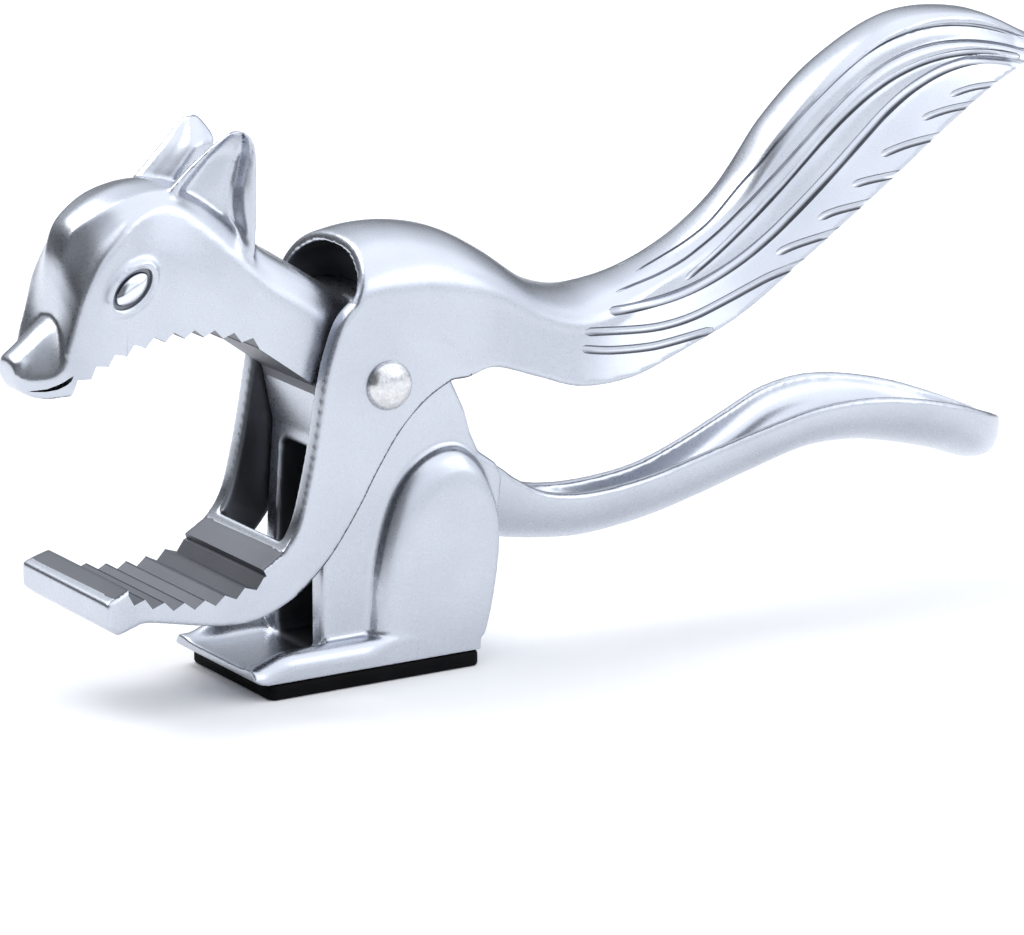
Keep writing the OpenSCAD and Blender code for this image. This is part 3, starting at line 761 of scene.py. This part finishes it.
def build_eyes(settings):
    bead_finish = bright_bead("polished eye", settings.finish.bead)
    for side, name in ((-1, "near_eye"), (1, "far_eye")):
        rings = []
        for share, out in [(1.0, 8.1), (1.0, 8.3), (0.97, 8.55), (0.9, 8.85), (0.78, 9.12), (0.6, 9.36),
                           (0.35, 9.5), (0.06, 9.55)]:
            line = [EYE_CENTRE + (p - EYE_CENTRE) * share for p in almond(3.15, 1.75)]
            rings.append([(x, side * out, z) for x, z in line])
        eye = skin(name, rings)
        shade(eye, 50)
        dress(eye, name, bead_finish, "cast_body", "body")


# ---- tail lever --------------------------------------------------------------------------------

CHEEK_FRONT = [(-2.7, 57.05), (-5.3, 54.35), (-7.1, 49.95), (-8.3, 45.55), (-9.8, 37.35), (-11.1, 31.35),
               (-12.8, 25.45), (-15.3, 21.75), (-18.45, 18.8)]
ARM_BACK = [(15.7, 44.55), (13.7, 43.75), (9.1, 41.35), (4.7, 37.35), (0.8, 31.85), (-2.3, 26.75), (-6.2, 21.25),
            (-9.3, 17.95), (-13.0, 15.05), (-17.6, 12.95), (-21.4, 12.25), (-26.6, 12.65), (-35.4, 14.45),
            (-38.1, 14.85)]

# Ribs of the hood and the tail, back from the pivot in mm:
# lower edge x, z; upper edge x, z; half width low, high; where the shoulder starts
TAIL_RIBS = [
    (-10.4, 0.0, -1.8, 20.2, 12.0, 12.0, 0.62), (-4.0, 0.0, 3.0, 21.0, 12.0, 12.0, 0.60),
    (4.0, 0.0, 8.7, 20.8, 12.0, 12.0, 0.58), (12.6, -0.8, 14.6, 19.3, 12.0, 11.6, 0.56),
    (18.0, 0.2, 20.6, 16.0, 12.0, 11.0, 0.55), (25.4, -2.2, 28.4, 10.6, 11.6, 10.2, 0.56),
    (33.4, -4.9, 36.0, 8.0, 11.0, 9.2, 0.58), (42.6, -4.9, 42.6, 8.1, 10.4, 7.8, 0.64),
    (51.6, -2.3, 49.6, 9.7, 9.8, 6.6, 0.74), (63.2, 2.2, 57.7, 13.5, 9.4, 5.8, 0.82),
    (75.4, 9.8, 65.6, 19.4, 9.2, 5.4, 0.86), (87.7, 17.6, 73.4, 28.9, 8.8, 5.2, 0.86),
    (99.5, 25.4, 83.2, 37.2, 8.2, 5.0, 0.86), (109.3, 31.2, 95.6, 42.93, 7.4, 4.6, 0.85),
    (117.0, 34.0, 108.0, 42.72, 6.0, 3.8, 0.84), (122.2, 34.4, 118.0, 38.6, 4.2, 2.8, 0.82),
    (124.7, 33.8, 124.1, 35.3, 1.6, 1.2, 0.80)]

# Lines along the side of the tail, in the side view
CROWN_STEP = [(50.3, 53.3), (55.1, 55.0), (59.3, 56.95), (63.6, 59.55), (67.6, 62.85), (71.3, 67.0), (75.0, 71.2),
              (78.0, 73.9), (82.3, 77.5), (87.0, 80.8), (91.6, 83.4), (96.7, 85.2), (103.2, 85.8), (109.5, 85.2),
              (115.4, 83.6), (120.5, 81.6)]
SECOND_ROLL = [(45.0, 51.4), (52.5, 52.8), (57.0, 54.6), (60.6, 56.5), (64.3, 58.7), (68.8, 62.0), (74.2, 66.8),
               (80.0, 71.7), (84.6, 75.6), (89.1, 78.8), (93.7, 81.2), (98.4, 82.5), (102.7, 83.1), (108.6, 83.0),
               (115.0, 81.7), (120.5, 79.8)]
NARROW_RIB = [(56.6, 52.2), (60.4, 54.1), (64.2, 56.6), (68.6, 59.7), (73.3, 63.4), (77.2, 67.0), (81.6, 70.8),
              (86.1, 74.3), (90.5, 77.1), (95.4, 79.4), (100.9, 80.9), (107.0, 81.4), (113.0, 80.8), (118.0, 79.4)]
MAIN_GROOVE = [(42.4, 49.3), (48.7, 49.1), (54.5, 49.8), (60.1, 51.3), (65.5, 53.6), (71.2, 56.9), (76.3, 60.8),
               (82.6, 65.7), (88.6, 70.7), (92.4, 73.9), (97.3, 77.1), (103.7, 79.5), (109.3, 80.3), (115.3, 79.4),
               (120.5, 77.4)]

# The four long lines are smoothed once, in place
for points in (CROWN_STEP, SECOND_ROLL, NARROW_RIB, MAIN_GROOVE):
    points[1:-1] = [tuple((np.array(a) + 2 * np.array(b) + np.array(c)) / 4)
                    for a, b, c in zip(points, points[1:], points[2:])]

# Soft rolls between them: line, depth, reach above the line, reach below
TAIL_ROLLS = [(CROWN_STEP, 0.55, 0.6, 2.6), (SECOND_ROLL, 0.60, 2.4, 0.5), (NARROW_RIB, 0.35, 0.8, 0.8),
              (MAIN_GROOVE, 0.45, 3.0, 0.8)]

# Crisp grooves: line, half width, depth
TAIL_GROOVES = [
    (CROWN_STEP, 0.28, 0.40), (SECOND_ROLL, 0.28, 0.40), (NARROW_RIB, 0.52, 0.46), (MAIN_GROOVE, 0.78, 0.70),
    ([(37.1, 47.2), (45.1, 46.3), (51.0, 46.1), (56.7, 46.9), (62.6, 48.7), (67.0, 50.3), (70.7, 51.6),
      (77.0, 53.2)], 0.66, 0.52),
    ([(36.3, 44.9), (41.6, 43.9), (47.5, 43.5), (51.9, 43.7), (60.0, 44.8)], 0.66, 0.52),
    ([(71.7, 54.6), (75.8, 55.8), (84.0, 57.3)], 0.62, 0.50), ([(79.2, 59.1), (83.0, 60.1), (91.2, 61.0)], 0.62, 0.50),
    ([(85.4, 63.5), (89.4, 64.1), (97.6, 64.7)], 0.62, 0.50), ([(90.8, 67.5), (96.3, 68.8), (104.0, 69.6)], 0.62, 0.50),
    ([(98.4, 72.2), (103.5, 73.2), (110.5, 73.6)], 0.58, 0.46),
    ([(103.7, 75.2), (108.4, 76.0), (115.0, 76.0)], 0.52, 0.42)]


GROOVE_LINES = {id(points): smooth(points, 24) for points, _, _ in TAIL_GROOVES}


def side_at(t, low, high, shoulder):
    """Half width at height t, from 0 at the lower edge to 1 at the crown."""
    rise = np.clip((t - shoulder) / (1 - shoulder), 0, 1)
    w = np.where(t < shoulder, low + (high - low) * t / shoulder, high * (1 - rise ** 2.25) ** (1 / 2.25))
    return np.minimum(w, HALF_W)


def roll_depth(x, z, share):
    """How far the soft rolls sink the side of the tail at each point of the side view."""
    total = np.zeros(len(x))
    p = np.c_[x, z]
    for points, depth, above, below in TAIL_ROLLS:
        line = smooth(points, 3)
        length = np.concatenate([[0], np.cumsum(np.linalg.norm(np.diff(line, axis=0), axis=1))])
        best, side, run = np.full(len(x), 1e9), np.ones(len(x)), np.zeros(len(x))
        for i in range(len(line) - 1):
            ab = line[i + 1] - line[i]
            t = np.clip(((p - line[i]) @ ab) / (ab @ ab), 0, 1)
            off = p - (line[i] + t[:, None] * ab)
            dist = np.hypot(off[:, 0], off[:, 1])
            nearer = dist < best
            best = np.where(nearer, dist, best)
            side = np.where(nearer, np.sign(ab[0] * off[:, 1] - ab[1] * off[:, 0]), side)
            run = np.where(nearer, length[i] + t * (length[i + 1] - length[i]), run)
        u = np.clip(best / np.where(side > 0, above, below), 0, 1)
        total += depth * share * (1 - u) ** 1.6 * step_up(run, 0, 12) * step_up(length[-1] - run, 0, 3)
    return total


def tail(roll_share):
    rings = []
    for lx, lz, tx, tz, low_w, high_w, shoulder in smooth(TAIL_RIBS, 14):
        low, top = np.array([lx, lz]), np.array([tx, tz])
        d = np.linalg.norm(top - low)
        up = (top - low) / d
        wall = min(1.9, 0.3 * d, 0.45 * high_w)
        turn = np.sin(np.radians(np.linspace(0, 90, 26)))
        t = np.concatenate([np.linspace(0, shoulder, 60)[:-1], shoulder + (1 - shoulder) * turn])
        place = PIVOT + low + up * (t * d)[:, None]
        w = side_at(t, low_w, high_w, shoulder)
        if lx > 38:
            w = np.maximum(w - roll_depth(place[:, 0], place[:, 1], roll_share), 0)
        outer = [(max(a, 0.0), h * d) for a, h in zip(w, t)]
        thick = 3.0 if lx < 22 else wall + (3.0 - wall) * (1 - min(1, max(0, (lx - 22) / 12)))
        rim = 1 - step_up(lx, -10, 8)
        wall -= 0.5 * rim
        ti = np.concatenate([np.linspace(0, shoulder, 16)[:-1], shoulder + (1 - shoulder) * turn])
        ti[-1] = 0.995
        inner = [(max(a - thick + 1.5 * rim * step_up(h, 0.5, 0.8), 0.05 * a), h * (d - wall))
                 for a, h in zip(side_at(ti, low_w, high_w, shoulder), ti)]
        if not rings:
            inner = [(a + 0.1, h + 0.1) for a, h in inner]
            outer = [(max(a - 0.3, 0.0), h * (1 - 0.3 / d)) for a, h in outer]
        foot, inside = outer[0][0], inner[0][0]
        outer[0] = (foot - 0.12, 0.14)
        half = inner[:0:-1] + [(inside, 0.4), (inside + 0.35, 0.05), (foot - 0.45, 0.0)] + outer[:-1]
        half = [(PIVOT[0] + (low + up * h)[0], a, PIVOT[1] + (low + up * h)[1]) for a, h in half]
        crown, roof = PIVOT + low + up * d, PIVOT + low + up * (d - wall)
        rings.append(both_sides(half, [(crown[0], 0, crown[1])]) + [(roof[0], 0, roof[1])])
    return skin("tail", rings)


JAW_TIP = [(-43.7, 18.95), (-43.7, 15.55), (-41.9, 13.95)]


def jaw_top():
    """The top of the lower jaw, a little above the tips of the teeth, and its front end."""
    return arc_line(LOWER_ARC, TEETH_R - 0.9, 21.5, -26.0, -1) + JAW_TIP


def lever_side():
    """Outline of the arm and the lower jaw."""
    return [*smooth(CHEEK_FRONT, 5)[:-1], *jaw_top(), *smooth(ARM_BACK, 5)[::-1], (13.3, 49.35), (5.3, 53.35)]


def jaw_floor():
    low = [p for p in smooth(ARM_BACK, 5) if p[0] < -12.2]
    return plate("jaw floor", [(-14.1, 23.2), (-15.3, 21.75), *jaw_top(), *low[::-1]], -HALF_W, HALF_W, 0.35)


def palm_cutter():
    """Trims the jaw to the tips of its teeth."""
    tips = arc_line(LOWER_ARC, TEETH_R, 22.5, -26.5, -1)
    above = arc_line(LOWER_ARC, TEETH_R - 5, 22.5, -26.5, -1)
    return plate("palm", tips + above[::-1], -15, 15)


def flare_jaw(obj):
    """Widens the front of the jaw a little."""
    co = coordinates(obj)
    share = step_up(-co[:, 0], 36.5, 43.5) * (co[:, 2] < 25)
    co[:, 1] *= 1 + 0.108 * share
    co[:, 0] -= 0.8 * share
    set_coordinates(obj, co)


def groove_cutter(surface, points, half_width, depth, side):
    """A sunk channel with a rounded floor that follows the skin of the tail from its root outwards."""
    line = smooth(points, 5)
    run = np.concatenate([[0], np.cumsum(np.linalg.norm(np.diff(line, axis=0), axis=1))])
    spots, outs = [], []
    for x, z in line:
        hit, normal = surface.ray_cast(Vector((x, side * 30, z)) * MM, Vector((0, -side, 0)))[:2]
        if hit is not None and hit.y * side > 2 * MM and normal.y * side > 0.1:
            spots.append(np.array([x, hit.y / MM, z]))
            outs.append(np.array(normal))
        elif spots:
            spots.append(np.array([x, spots[-1][1], z]))
            outs.append(outs[-1])
    last = len(spots) - 1
    for _ in range(4):
        outs = [outs[max(i - 1, 0)] + 2 * outs[i] + outs[min(i + 1, last)] for i in range(last + 1)]
        outs = [o / np.linalg.norm(o) for o in outs]
    spots = [(spots[max(i - 1, 0)] + 4 * spots[i] + spots[min(i + 1, last)]) / 6 for i in range(last + 1)]
    rings = []
    for i, (spot, out) in enumerate(zip(spots, outs)):
        along = spots[min(i + 1, last)] - spots[max(i - 1, 0)]
        across = np.cross(along / np.linalg.norm(along), out)
        across /= np.linalg.norm(across)
        end = min(run[i], run[-1] - run[i])
        h = half_width * (0.45 + 0.55 * step_up(end, 0, 0.9))
        d = depth * (0.3 + 0.7 * step_up(end, 0, 2.5))
        rings.append([spot + across * h * s + out * n for s, n in (
            (-1.1, 1.5), (-1.0, 0.0), (-0.86, -0.7 * d), (-0.62, -d), (0.0, -0.9 * d), (0.62, -d),
            (0.86, -0.7 * d), (1.0, 0.0), (1.1, 1.5))])
    return skin("groove", rings)


def groove_corner_shade(surface, co):
    """How much painted shade each point gets, by how close it lies to the corner along both walls of a groove."""
    share = np.zeros(len(co))
    tail_side = np.flatnonzero((co[:, 0] > 34) & (co[:, 2] > 40))
    sunk = [i for i in tail_side if surface.find_nearest(Vector(co[i]) * MM, 0.9 * MM)[3] is not None
            and surface.find_nearest(Vector(co[i]) * MM)[3] > 0.1 * MM]
    for i in sunk:
        best = 9.0
        for points, half_width, _ in TAIL_GROOVES:
            line = GROOVE_LINES[id(points)]
            best = min(best, np.hypot(line[:, 0] - co[i, 0], line[:, 1] - co[i, 2]).min() / half_width)
        share[i] = 0.9 * math.exp(-((best - 0.86) / 0.22) ** 2) if best < 1.3 else 0
    return share


def build_lever(settings):
    finish = settings.finish
    metal = plated_zinc("satin plating of the lever", finish.metal, finish.roughness, finish.grain * 1000,
                        finish.painted_shade)
    side = plate("cheek", lever_side(), CHEEK_IN, HALF_W, 0.6)
    lever = join("lever", [side, mirrored(side), jaw_floor(), tail(settings.tail.roll_depth)])
    fuse(lever, finish.cell * 1000, finish.softness)
    flare_jaw(lever)
    thin_out(lever, 178000)
    bpy.context.view_layer.update()
    surface = BVHTree.FromObject(lever, bpy.context.evaluated_depsgraph_get())
    depth = settings.tail.groove_depth
    cutters = [join("grooves", [groove_cutter(surface, line, w, d * depth, side) for line, w, d in TAIL_GROOVES])
               for side in (-1, 1)]
    carve(lever, cutters + [pivot_cutter(2.5), palm_cutter(), tooth_notches(
        "lower teeth", LOWER_ARC, LOWER_TEETH, -1, settings.jaws, metal)])
    drop_doubled_faces(lever)
    # Painted shade: the inner faces of the hood and cheeks, the downward faces inside the hood, the corners of the
    # tail's grooves, the notches of the lower teeth and the arm's rim over the torso are darkened where shade falls.
    co, no = coordinates(lever), normals(lever)
    x, y, z = co.T
    inner_shade = step_up(-no[:, 1] * np.sign(y), 0.2, 0.8) * step_up(x, -16, -10) * (1 - 0.6 * step_up(x, 16, 40))
    underside_shade = step_up(-no[:, 2], 0.5, 0.9) * step_up(x, -12, -6) * (np.abs(y) < 9) * (z > 46) * (x < 30)
    set_painted_shade(lever, np.maximum(np.maximum(inner_shade, underside_shade) * 0.85, groove_corner_shade(surface, co)),
               lambda c, out: 0.75 * (between_teeth(c, out, LOWER_ARC, -1) | arm_edge(c, out)))
    shade(lever)
    dress(lever, "tail_and_jaw", metal, "cast_lever", "lever", "tail_lever")


# ---- pivot and pad -----------------------------------------------------------------------------

def turned_part(name, profile, steps=96):
    """A solid turned about the pivot axis from (radius, y) points in mm, closed at both ends."""
    rings = [[(PIVOT[0] + max(r, 0.02) * math.cos(a), y, PIVOT[1] + max(r, 0.02) * math.sin(a))
              for a in around(steps)] for r, y in profile]
    return skin(name, rings)


def dome(side):
    """Profile of the rivet's low dome with a small rolled edge, from its rim to its top."""
    radius, high = 3.65, 1.88
    points = [(radius - 0.12, side * HALF_W), (radius, side * (HALF_W + 0.14)), (radius - 0.05, side * (HALF_W + 0.32))]
    for a in np.radians(np.linspace(12, 90, 16)):
        points.append(((radius - 0.08) * math.cos(a), side * (HALF_W + 0.3 + (high - 0.32) * math.sin(a))))
    return points


def build_pivot(settings):
    steel = turned_steel("peened steel", settings.finish.steel, 0.2)
    shank = [(1.58, 13.15), (1.6, 12.0), (2.48, 12.0), (2.48, -12.0)]
    rivet = turned_part("rivet", shank + dome(-1))
    shade(rivet, 40)
    dress(rivet, "rivet_with_head", steel, "rivet_steel", "lever", "pivot_rivet")
    cap = turned_part("cap", [(1.6, 13.2), (1.6, 12.02), (3.4, 12.02)] + dome(1))
    shade(cap, 40)
    dress(cap, "rivet_end_cap", steel, "rivet_steel", "lever", "rivet_cap")
    bronze = plain_moulding("sintered bronze", (0.62, 0.43, 0.22), 1.0, 0.42, 2600.0)
    nylon = plain_moulding("natural nylon", (0.80, 0.79, 0.74), 0.0, 0.5, 1500.0)
    for node, finish in (("pivot_bush", bronze), ("near_washer", nylon), ("far_washer", nylon)):
        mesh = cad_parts[node].data
        mesh.materials.clear()
        mesh.materials.append(finish)


def build_pad(settings):
    lo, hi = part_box("base_pad")
    hx, hy, top = (hi.x - lo.x) / 2 / MM, (hi.y - lo.y) / 2 / MM, hi.z / MM
    rubber = moulded_rubber("pad rubber", settings.finish.rubber, 0.35)
    corner = 1.2
    rings = []
    for inset, z in [(0.5, 0.0), (0.15, 0.12), (0.0, 0.45), (0.0, 1.1), (0.0, 1.7), (0.12, 2.1), (0.45, 2.34),
                     (0.9, top)]:
        outline = []
        for cx, cy, from_deg in ((1, 1, 0), (-1, 1, 90), (-1, -1, 180), (1, -1, 270)):
            r = corner - inset
            for a in np.radians(np.linspace(from_deg, from_deg + 90, 8)):
                outline.append((cx * (hx - corner) + r * math.cos(a), cy * (hy - corner) + r * math.sin(a), z))
        rings.append(outline)
    pad = skin("pad", rings)
    shade(pad, 40)
    dress(pad, "base_pad_moulded", rubber, "pad_rubber", "body", "base_pad")


# ---- stage -------------------------------------------------------------------------------------

FOCAL_PX = 6000.0                                  # focal length in pixels of the picture
MM_PER_PX = 0.1435                                 # scale of the picture at the rivet's head
PICTURE = (1024, 935)
RIVET_HEAD = np.array([2.278, -12.0, 44.354])
RIVET_AT = (388.8, 385.5)                          # where the rivet's head lies in the picture

# Brightness of the surroundings by height, from straight down at 0 to straight up at 1
BACK_LEVELS = ((0.48, 0.9), (0.505, 0.05), (0.57, 0.16), (0.66, 0.5), (0.78, 1.0), (0.88, 1.3))
FRONT_LEVELS = ((0.48, 0.9), (0.53, 0.95), (0.60, 1.35), (0.76, 1.2))


def area_light(name, place, aim, size, power):
    data = bpy.data.lights.new(name, "AREA")
    data.shape, data.size, data.size_y = "RECTANGLE", size[0], size[1]
    data.energy = power
    obj = put_in_scene(name, data)
    obj.location = place
    obj.rotation_euler = (Vector(aim) - Vector(place)).to_track_quat("-Z", "Y").to_euler()


def studio_world(strength):
    """Soft studio surroundings: dark low down behind the object, dim to its left, pale elsewhere."""
    world = bpy.data.worlds.new("studio")
    world.use_nodes = True
    world.node_tree.nodes.clear()
    t = Tree(world.node_tree)
    sky = t.node("ShaderNodeTexCoord").outputs["Generated"]
    parts = t.node("ShaderNodeSeparateXYZ", i0=sky)
    height = span(t, parts.outputs["Z"], -1, 1, 0, 1)
    ramps = []
    for stops in (BACK_LEVELS, FRONT_LEVELS):
        ramp = t.node("ShaderNodeValToRGB", i0=height)
        ends = ramp.color_ramp.elements
        ends[0].position, ends[0].color = 0.0, (0.9, 0.9, 0.92, 1)
        ends[1].position, ends[1].color = 1.0, (1.12, 1.16, 1.24, 1)
        for place, level in stops:
            ramp.color_ramp.elements.new(place).color = (level * 0.93, level * 0.97, level * 1.04, 1)
        ramps.append(ramp.outputs[0])
    all_round = mix_color(t, span(t, parts.outputs["Y"], -0.15, 0.3, 0, 1), ramps[1], ramps[0])
    left = t.node("ShaderNodeMath", operation="MAXIMUM", i0=span(t, parts.outputs["X"], -0.55, -0.2, 0.2, 1.0),
                  i1=span(t, parts.outputs["Z"], 0.72, 0.93, 0.2, 1.0)).outputs[0]
    tint = t.node("ShaderNodeMix", data_type="RGBA", blend_type="MULTIPLY")
    tint.inputs[0].default_value = 1.0
    world.node_tree.links.new(all_round, tint.inputs[6])
    world.node_tree.links.new(left, tint.inputs[7])
    back = t.node("ShaderNodeBackground", Color=tint.outputs[2], Strength=strength)
    out = t.node("ShaderNodeOutputWorld")
    world.node_tree.links.new(back.outputs[0], out.inputs["Surface"])
    bpy.context.scene.world = world


def build_stage(settings):
    stage = settings.stage
    az, el = math.radians(stage.azimuth), math.radians(stage.elevation)
    back = np.array([-math.sin(az) * math.cos(el), -math.cos(az) * math.cos(el), math.sin(el)])
    right = np.array([math.cos(az), -math.sin(az), 0.0])
    up = np.cross(right, -back)
    u, v = (RIVET_AT[0] - PICTURE[0] / 2) / FOCAL_PX, (PICTURE[1] / 2 - RIVET_AT[1]) / FOCAL_PX
    place = RIVET_HEAD - FOCAL_PX * MM_PER_PX * (-back + u * right + v * up)
    cam = bpy.data.cameras.new("camera")
    cam.sensor_width, cam.lens = 36.0, FOCAL_PX / PICTURE[0] * 36
    cam.clip_start, cam.clip_end = 0.05, 20
    obj = put_in_scene("camera", cam)
    obj.matrix_world = Matrix((*zip(right, up, back, place * MM), (0, 0, 0, 1)))
    bpy.context.scene.camera = obj

    m, t, bsdf, where = new_material("pale floor")
    soft = grain(t, where, 3.0, 2.0)
    t.put(bsdf, "Base_Color", mix_color(t, soft, (0.965, 0.963, 0.96, 1), (0.985, 0.983, 0.98, 1)))
    t.put(bsdf, "Roughness", span(t, soft, 0, 1, 0.85, 0.95))
    size = 3000.0
    floor = new_object("floor", [(-size, -size, 0), (size, -size, 0), (size, size, 0), (-size, size, 0)],
                       [(0, 1, 2, 3)])
    floor.location.z = -0.00002
    floor.data.materials.append(m)

    studio_world(stage.surround)
    area_light("overhead", (0.35, -0.30, 1.0), (0.02, 0, 0.0), (1.8, 1.5), 3.8 * stage.light)
    area_light("front right", (0.75, -0.9, 0.55), (0.03, 0, 0.03), (0.7, 0.6), 1.6 * stage.light)
    area_light("high left", (-0.42, 0.56, 0.92), (0, 0, 0.04), (0.8, 0.7), 6.6 * stage.light)
    bpy.context.scene.view_settings.view_transform = "Standard"


# ---- add-on ------------------------------------------------------------------------------------

class CastingFinish(bpy.types.PropertyGroup):
    metal: FloatVectorProperty(name="Plating", description="Colour of the satin plating", subtype="COLOR",
                               default=(0.525, 0.549, 0.602), min=0, max=1)
    # Colour of the painted shade in the castings' hollows, gaps and undersides.
    painted_shade: FloatVectorProperty(name="Recesses", description="Colour deep inside the castings", subtype="COLOR",
                                default=(0.025, 0.025, 0.03), min=0, max=1)
    bead: FloatVectorProperty(name="Eyes", description="Colour of the polished eyes", subtype="COLOR",
                              default=(0.76, 0.78, 0.83), min=0, max=1)
    steel: FloatVectorProperty(name="Rivet", description="Colour of the rivet's steel", subtype="COLOR",
                               default=(0.74, 0.74, 0.75), min=0, max=1)
    rubber: FloatVectorProperty(name="Pad", description="Colour of the pad's rubber", subtype="COLOR",
                                default=(0.003, 0.003, 0.0035), min=0, max=1)
    roughness: FloatProperty(name="Satin", description="Roughness of the satin plating", default=0.29, min=0.05,
                             max=0.6, subtype="FACTOR")
    grain: FloatProperty(name="Grain", description="Size of the blasted grain", default=0.0004, min=0.0001,
                         max=0.002, unit="LENGTH", precision=5)
    cell: FloatProperty(name="Cell", description="Mesh size at which the castings are fused", default=0.0003,
                        min=0.0002, max=0.001, unit="LENGTH", precision=5)
    softness: IntProperty(name="Softness", description="Passes that round the cast edges", default=11, min=0, max=30)


class JawSizes(bpy.types.PropertyGroup):
    tooth_pitch: FloatProperty(name="Tooth pitch", description="Distance from tooth to tooth", default=0.0031,
                               min=0.002, max=0.005, unit="LENGTH", precision=4)
    tooth_depth: FloatProperty(name="Tooth height", description="Height of the teeth", default=0.00115, min=0.0005,
                               max=0.002, unit="LENGTH", precision=5)


class TailSizes(bpy.types.PropertyGroup):
    groove_depth: FloatProperty(name="Groove depth", description="Share of the drawn depth of the tail's grooves",
                                default=1.0, min=0.2, max=1.5, subtype="FACTOR")
    roll_depth: FloatProperty(name="Roll depth", description="Share of the drawn depth of the tail's soft rolls",
                              default=1.0, min=0, max=1.5, subtype="FACTOR")


class StageSettings(bpy.types.PropertyGroup):
    azimuth: FloatProperty(name="Azimuth", description="Camera angle round the object, from its side to its nose",
                           default=31.5, min=-180, max=180)
    elevation: FloatProperty(name="Elevation", description="Camera angle above the table", default=15.0, min=-10,
                             max=89)
    light: FloatProperty(name="Light", description="Strength of all lamps", default=1.0, min=0, max=5)
    surround: FloatProperty(name="Surroundings", description="Strength of the studio surroundings", default=1.02,
                            min=0, max=5)


class NutcrackerSettings(bpy.types.PropertyGroup):
    finish: PointerProperty(type=CastingFinish)
    jaws: PointerProperty(type=JawSizes)
    tail: PointerProperty(type=TailSizes)
    stage: PointerProperty(type=StageSettings)


class NUTCRACKER_OT_stage(bpy.types.Operator):
    """Make the camera, the floor and the studio light"""
    bl_idname = "nutcracker.stage"
    bl_label = "Stage"

    def execute(self, context):
        build_stage(context.scene.nutcracker)
        return {"FINISHED"}


class NUTCRACKER_OT_body(bpy.types.Operator):
    """Make the body casting: head, ears, torso, haunches, foot and lower handle"""
    bl_idname = "nutcracker.body"
    bl_label = "Body casting"

    def execute(self, context):
        build_body(context.scene.nutcracker)
        return {"FINISHED"}


class NUTCRACKER_OT_eyes(bpy.types.Operator):
    """Make the two polished eyes"""
    bl_idname = "nutcracker.eyes"
    bl_label = "Eyes"

    def execute(self, context):
        build_eyes(context.scene.nutcracker)
        return {"FINISHED"}


class NUTCRACKER_OT_lever(bpy.types.Operator):
    """Make the tail lever with its hood, cheeks and toothed jaw"""
    bl_idname = "nutcracker.lever"
    bl_label = "Tail lever"

    def execute(self, context):
        build_lever(context.scene.nutcracker)
        return {"FINISHED"}


class NUTCRACKER_OT_pivot(bpy.types.Operator):
    """Make the rivet and its cap, and finish the bush and the washers"""
    bl_idname = "nutcracker.pivot"
    bl_label = "Pivot"

    def execute(self, context):
        build_pivot(context.scene.nutcracker)
        return {"FINISHED"}


class NUTCRACKER_OT_pad(bpy.types.Operator):
    """Make the rubber pad under the base"""
    bl_idname = "nutcracker.pad"
    bl_label = "Base pad"

    def execute(self, context):
        build_pad(context.scene.nutcracker)
        return {"FINISHED"}


class NUTCRACKER_PT_panel(bpy.types.Panel):
    """Lists the settings and the pieces"""
    bl_idname = "NUTCRACKER_PT_panel"
    bl_label = "Nutcracker"
    bl_space_type = "VIEW_3D"
    bl_region_type = "UI"
    bl_category = "Nutcracker"

    def draw(self, context):
        settings = context.scene.nutcracker
        for group in (settings.finish, settings.jaws, settings.tail, settings.stage):
            box = self.layout.box()
            for name in group.__annotations__:
                box.prop(group, name)
        for operator in OPERATORS:
            self.layout.operator(operator.bl_idname)


OPERATORS = (NUTCRACKER_OT_stage, NUTCRACKER_OT_body, NUTCRACKER_OT_eyes, NUTCRACKER_OT_lever, NUTCRACKER_OT_pivot,
             NUTCRACKER_OT_pad)
CLASSES = (CastingFinish, JawSizes, TailSizes, StageSettings, NutcrackerSettings, *OPERATORS, NUTCRACKER_PT_panel)


def register():
    for c in CLASSES:
        bpy.utils.register_class(c)
    bpy.types.Scene.nutcracker = PointerProperty(type=NutcrackerSettings)


def unregister():
    del bpy.types.Scene.nutcracker
    for c in reversed(CLASSES):
        bpy.utils.unregister_class(c)


def main():
    register()
    for operator in OPERATORS:
        getattr(bpy.ops.nutcracker, operator.bl_idname.split(".")[1])()


if __name__ == "__main__":
    main()
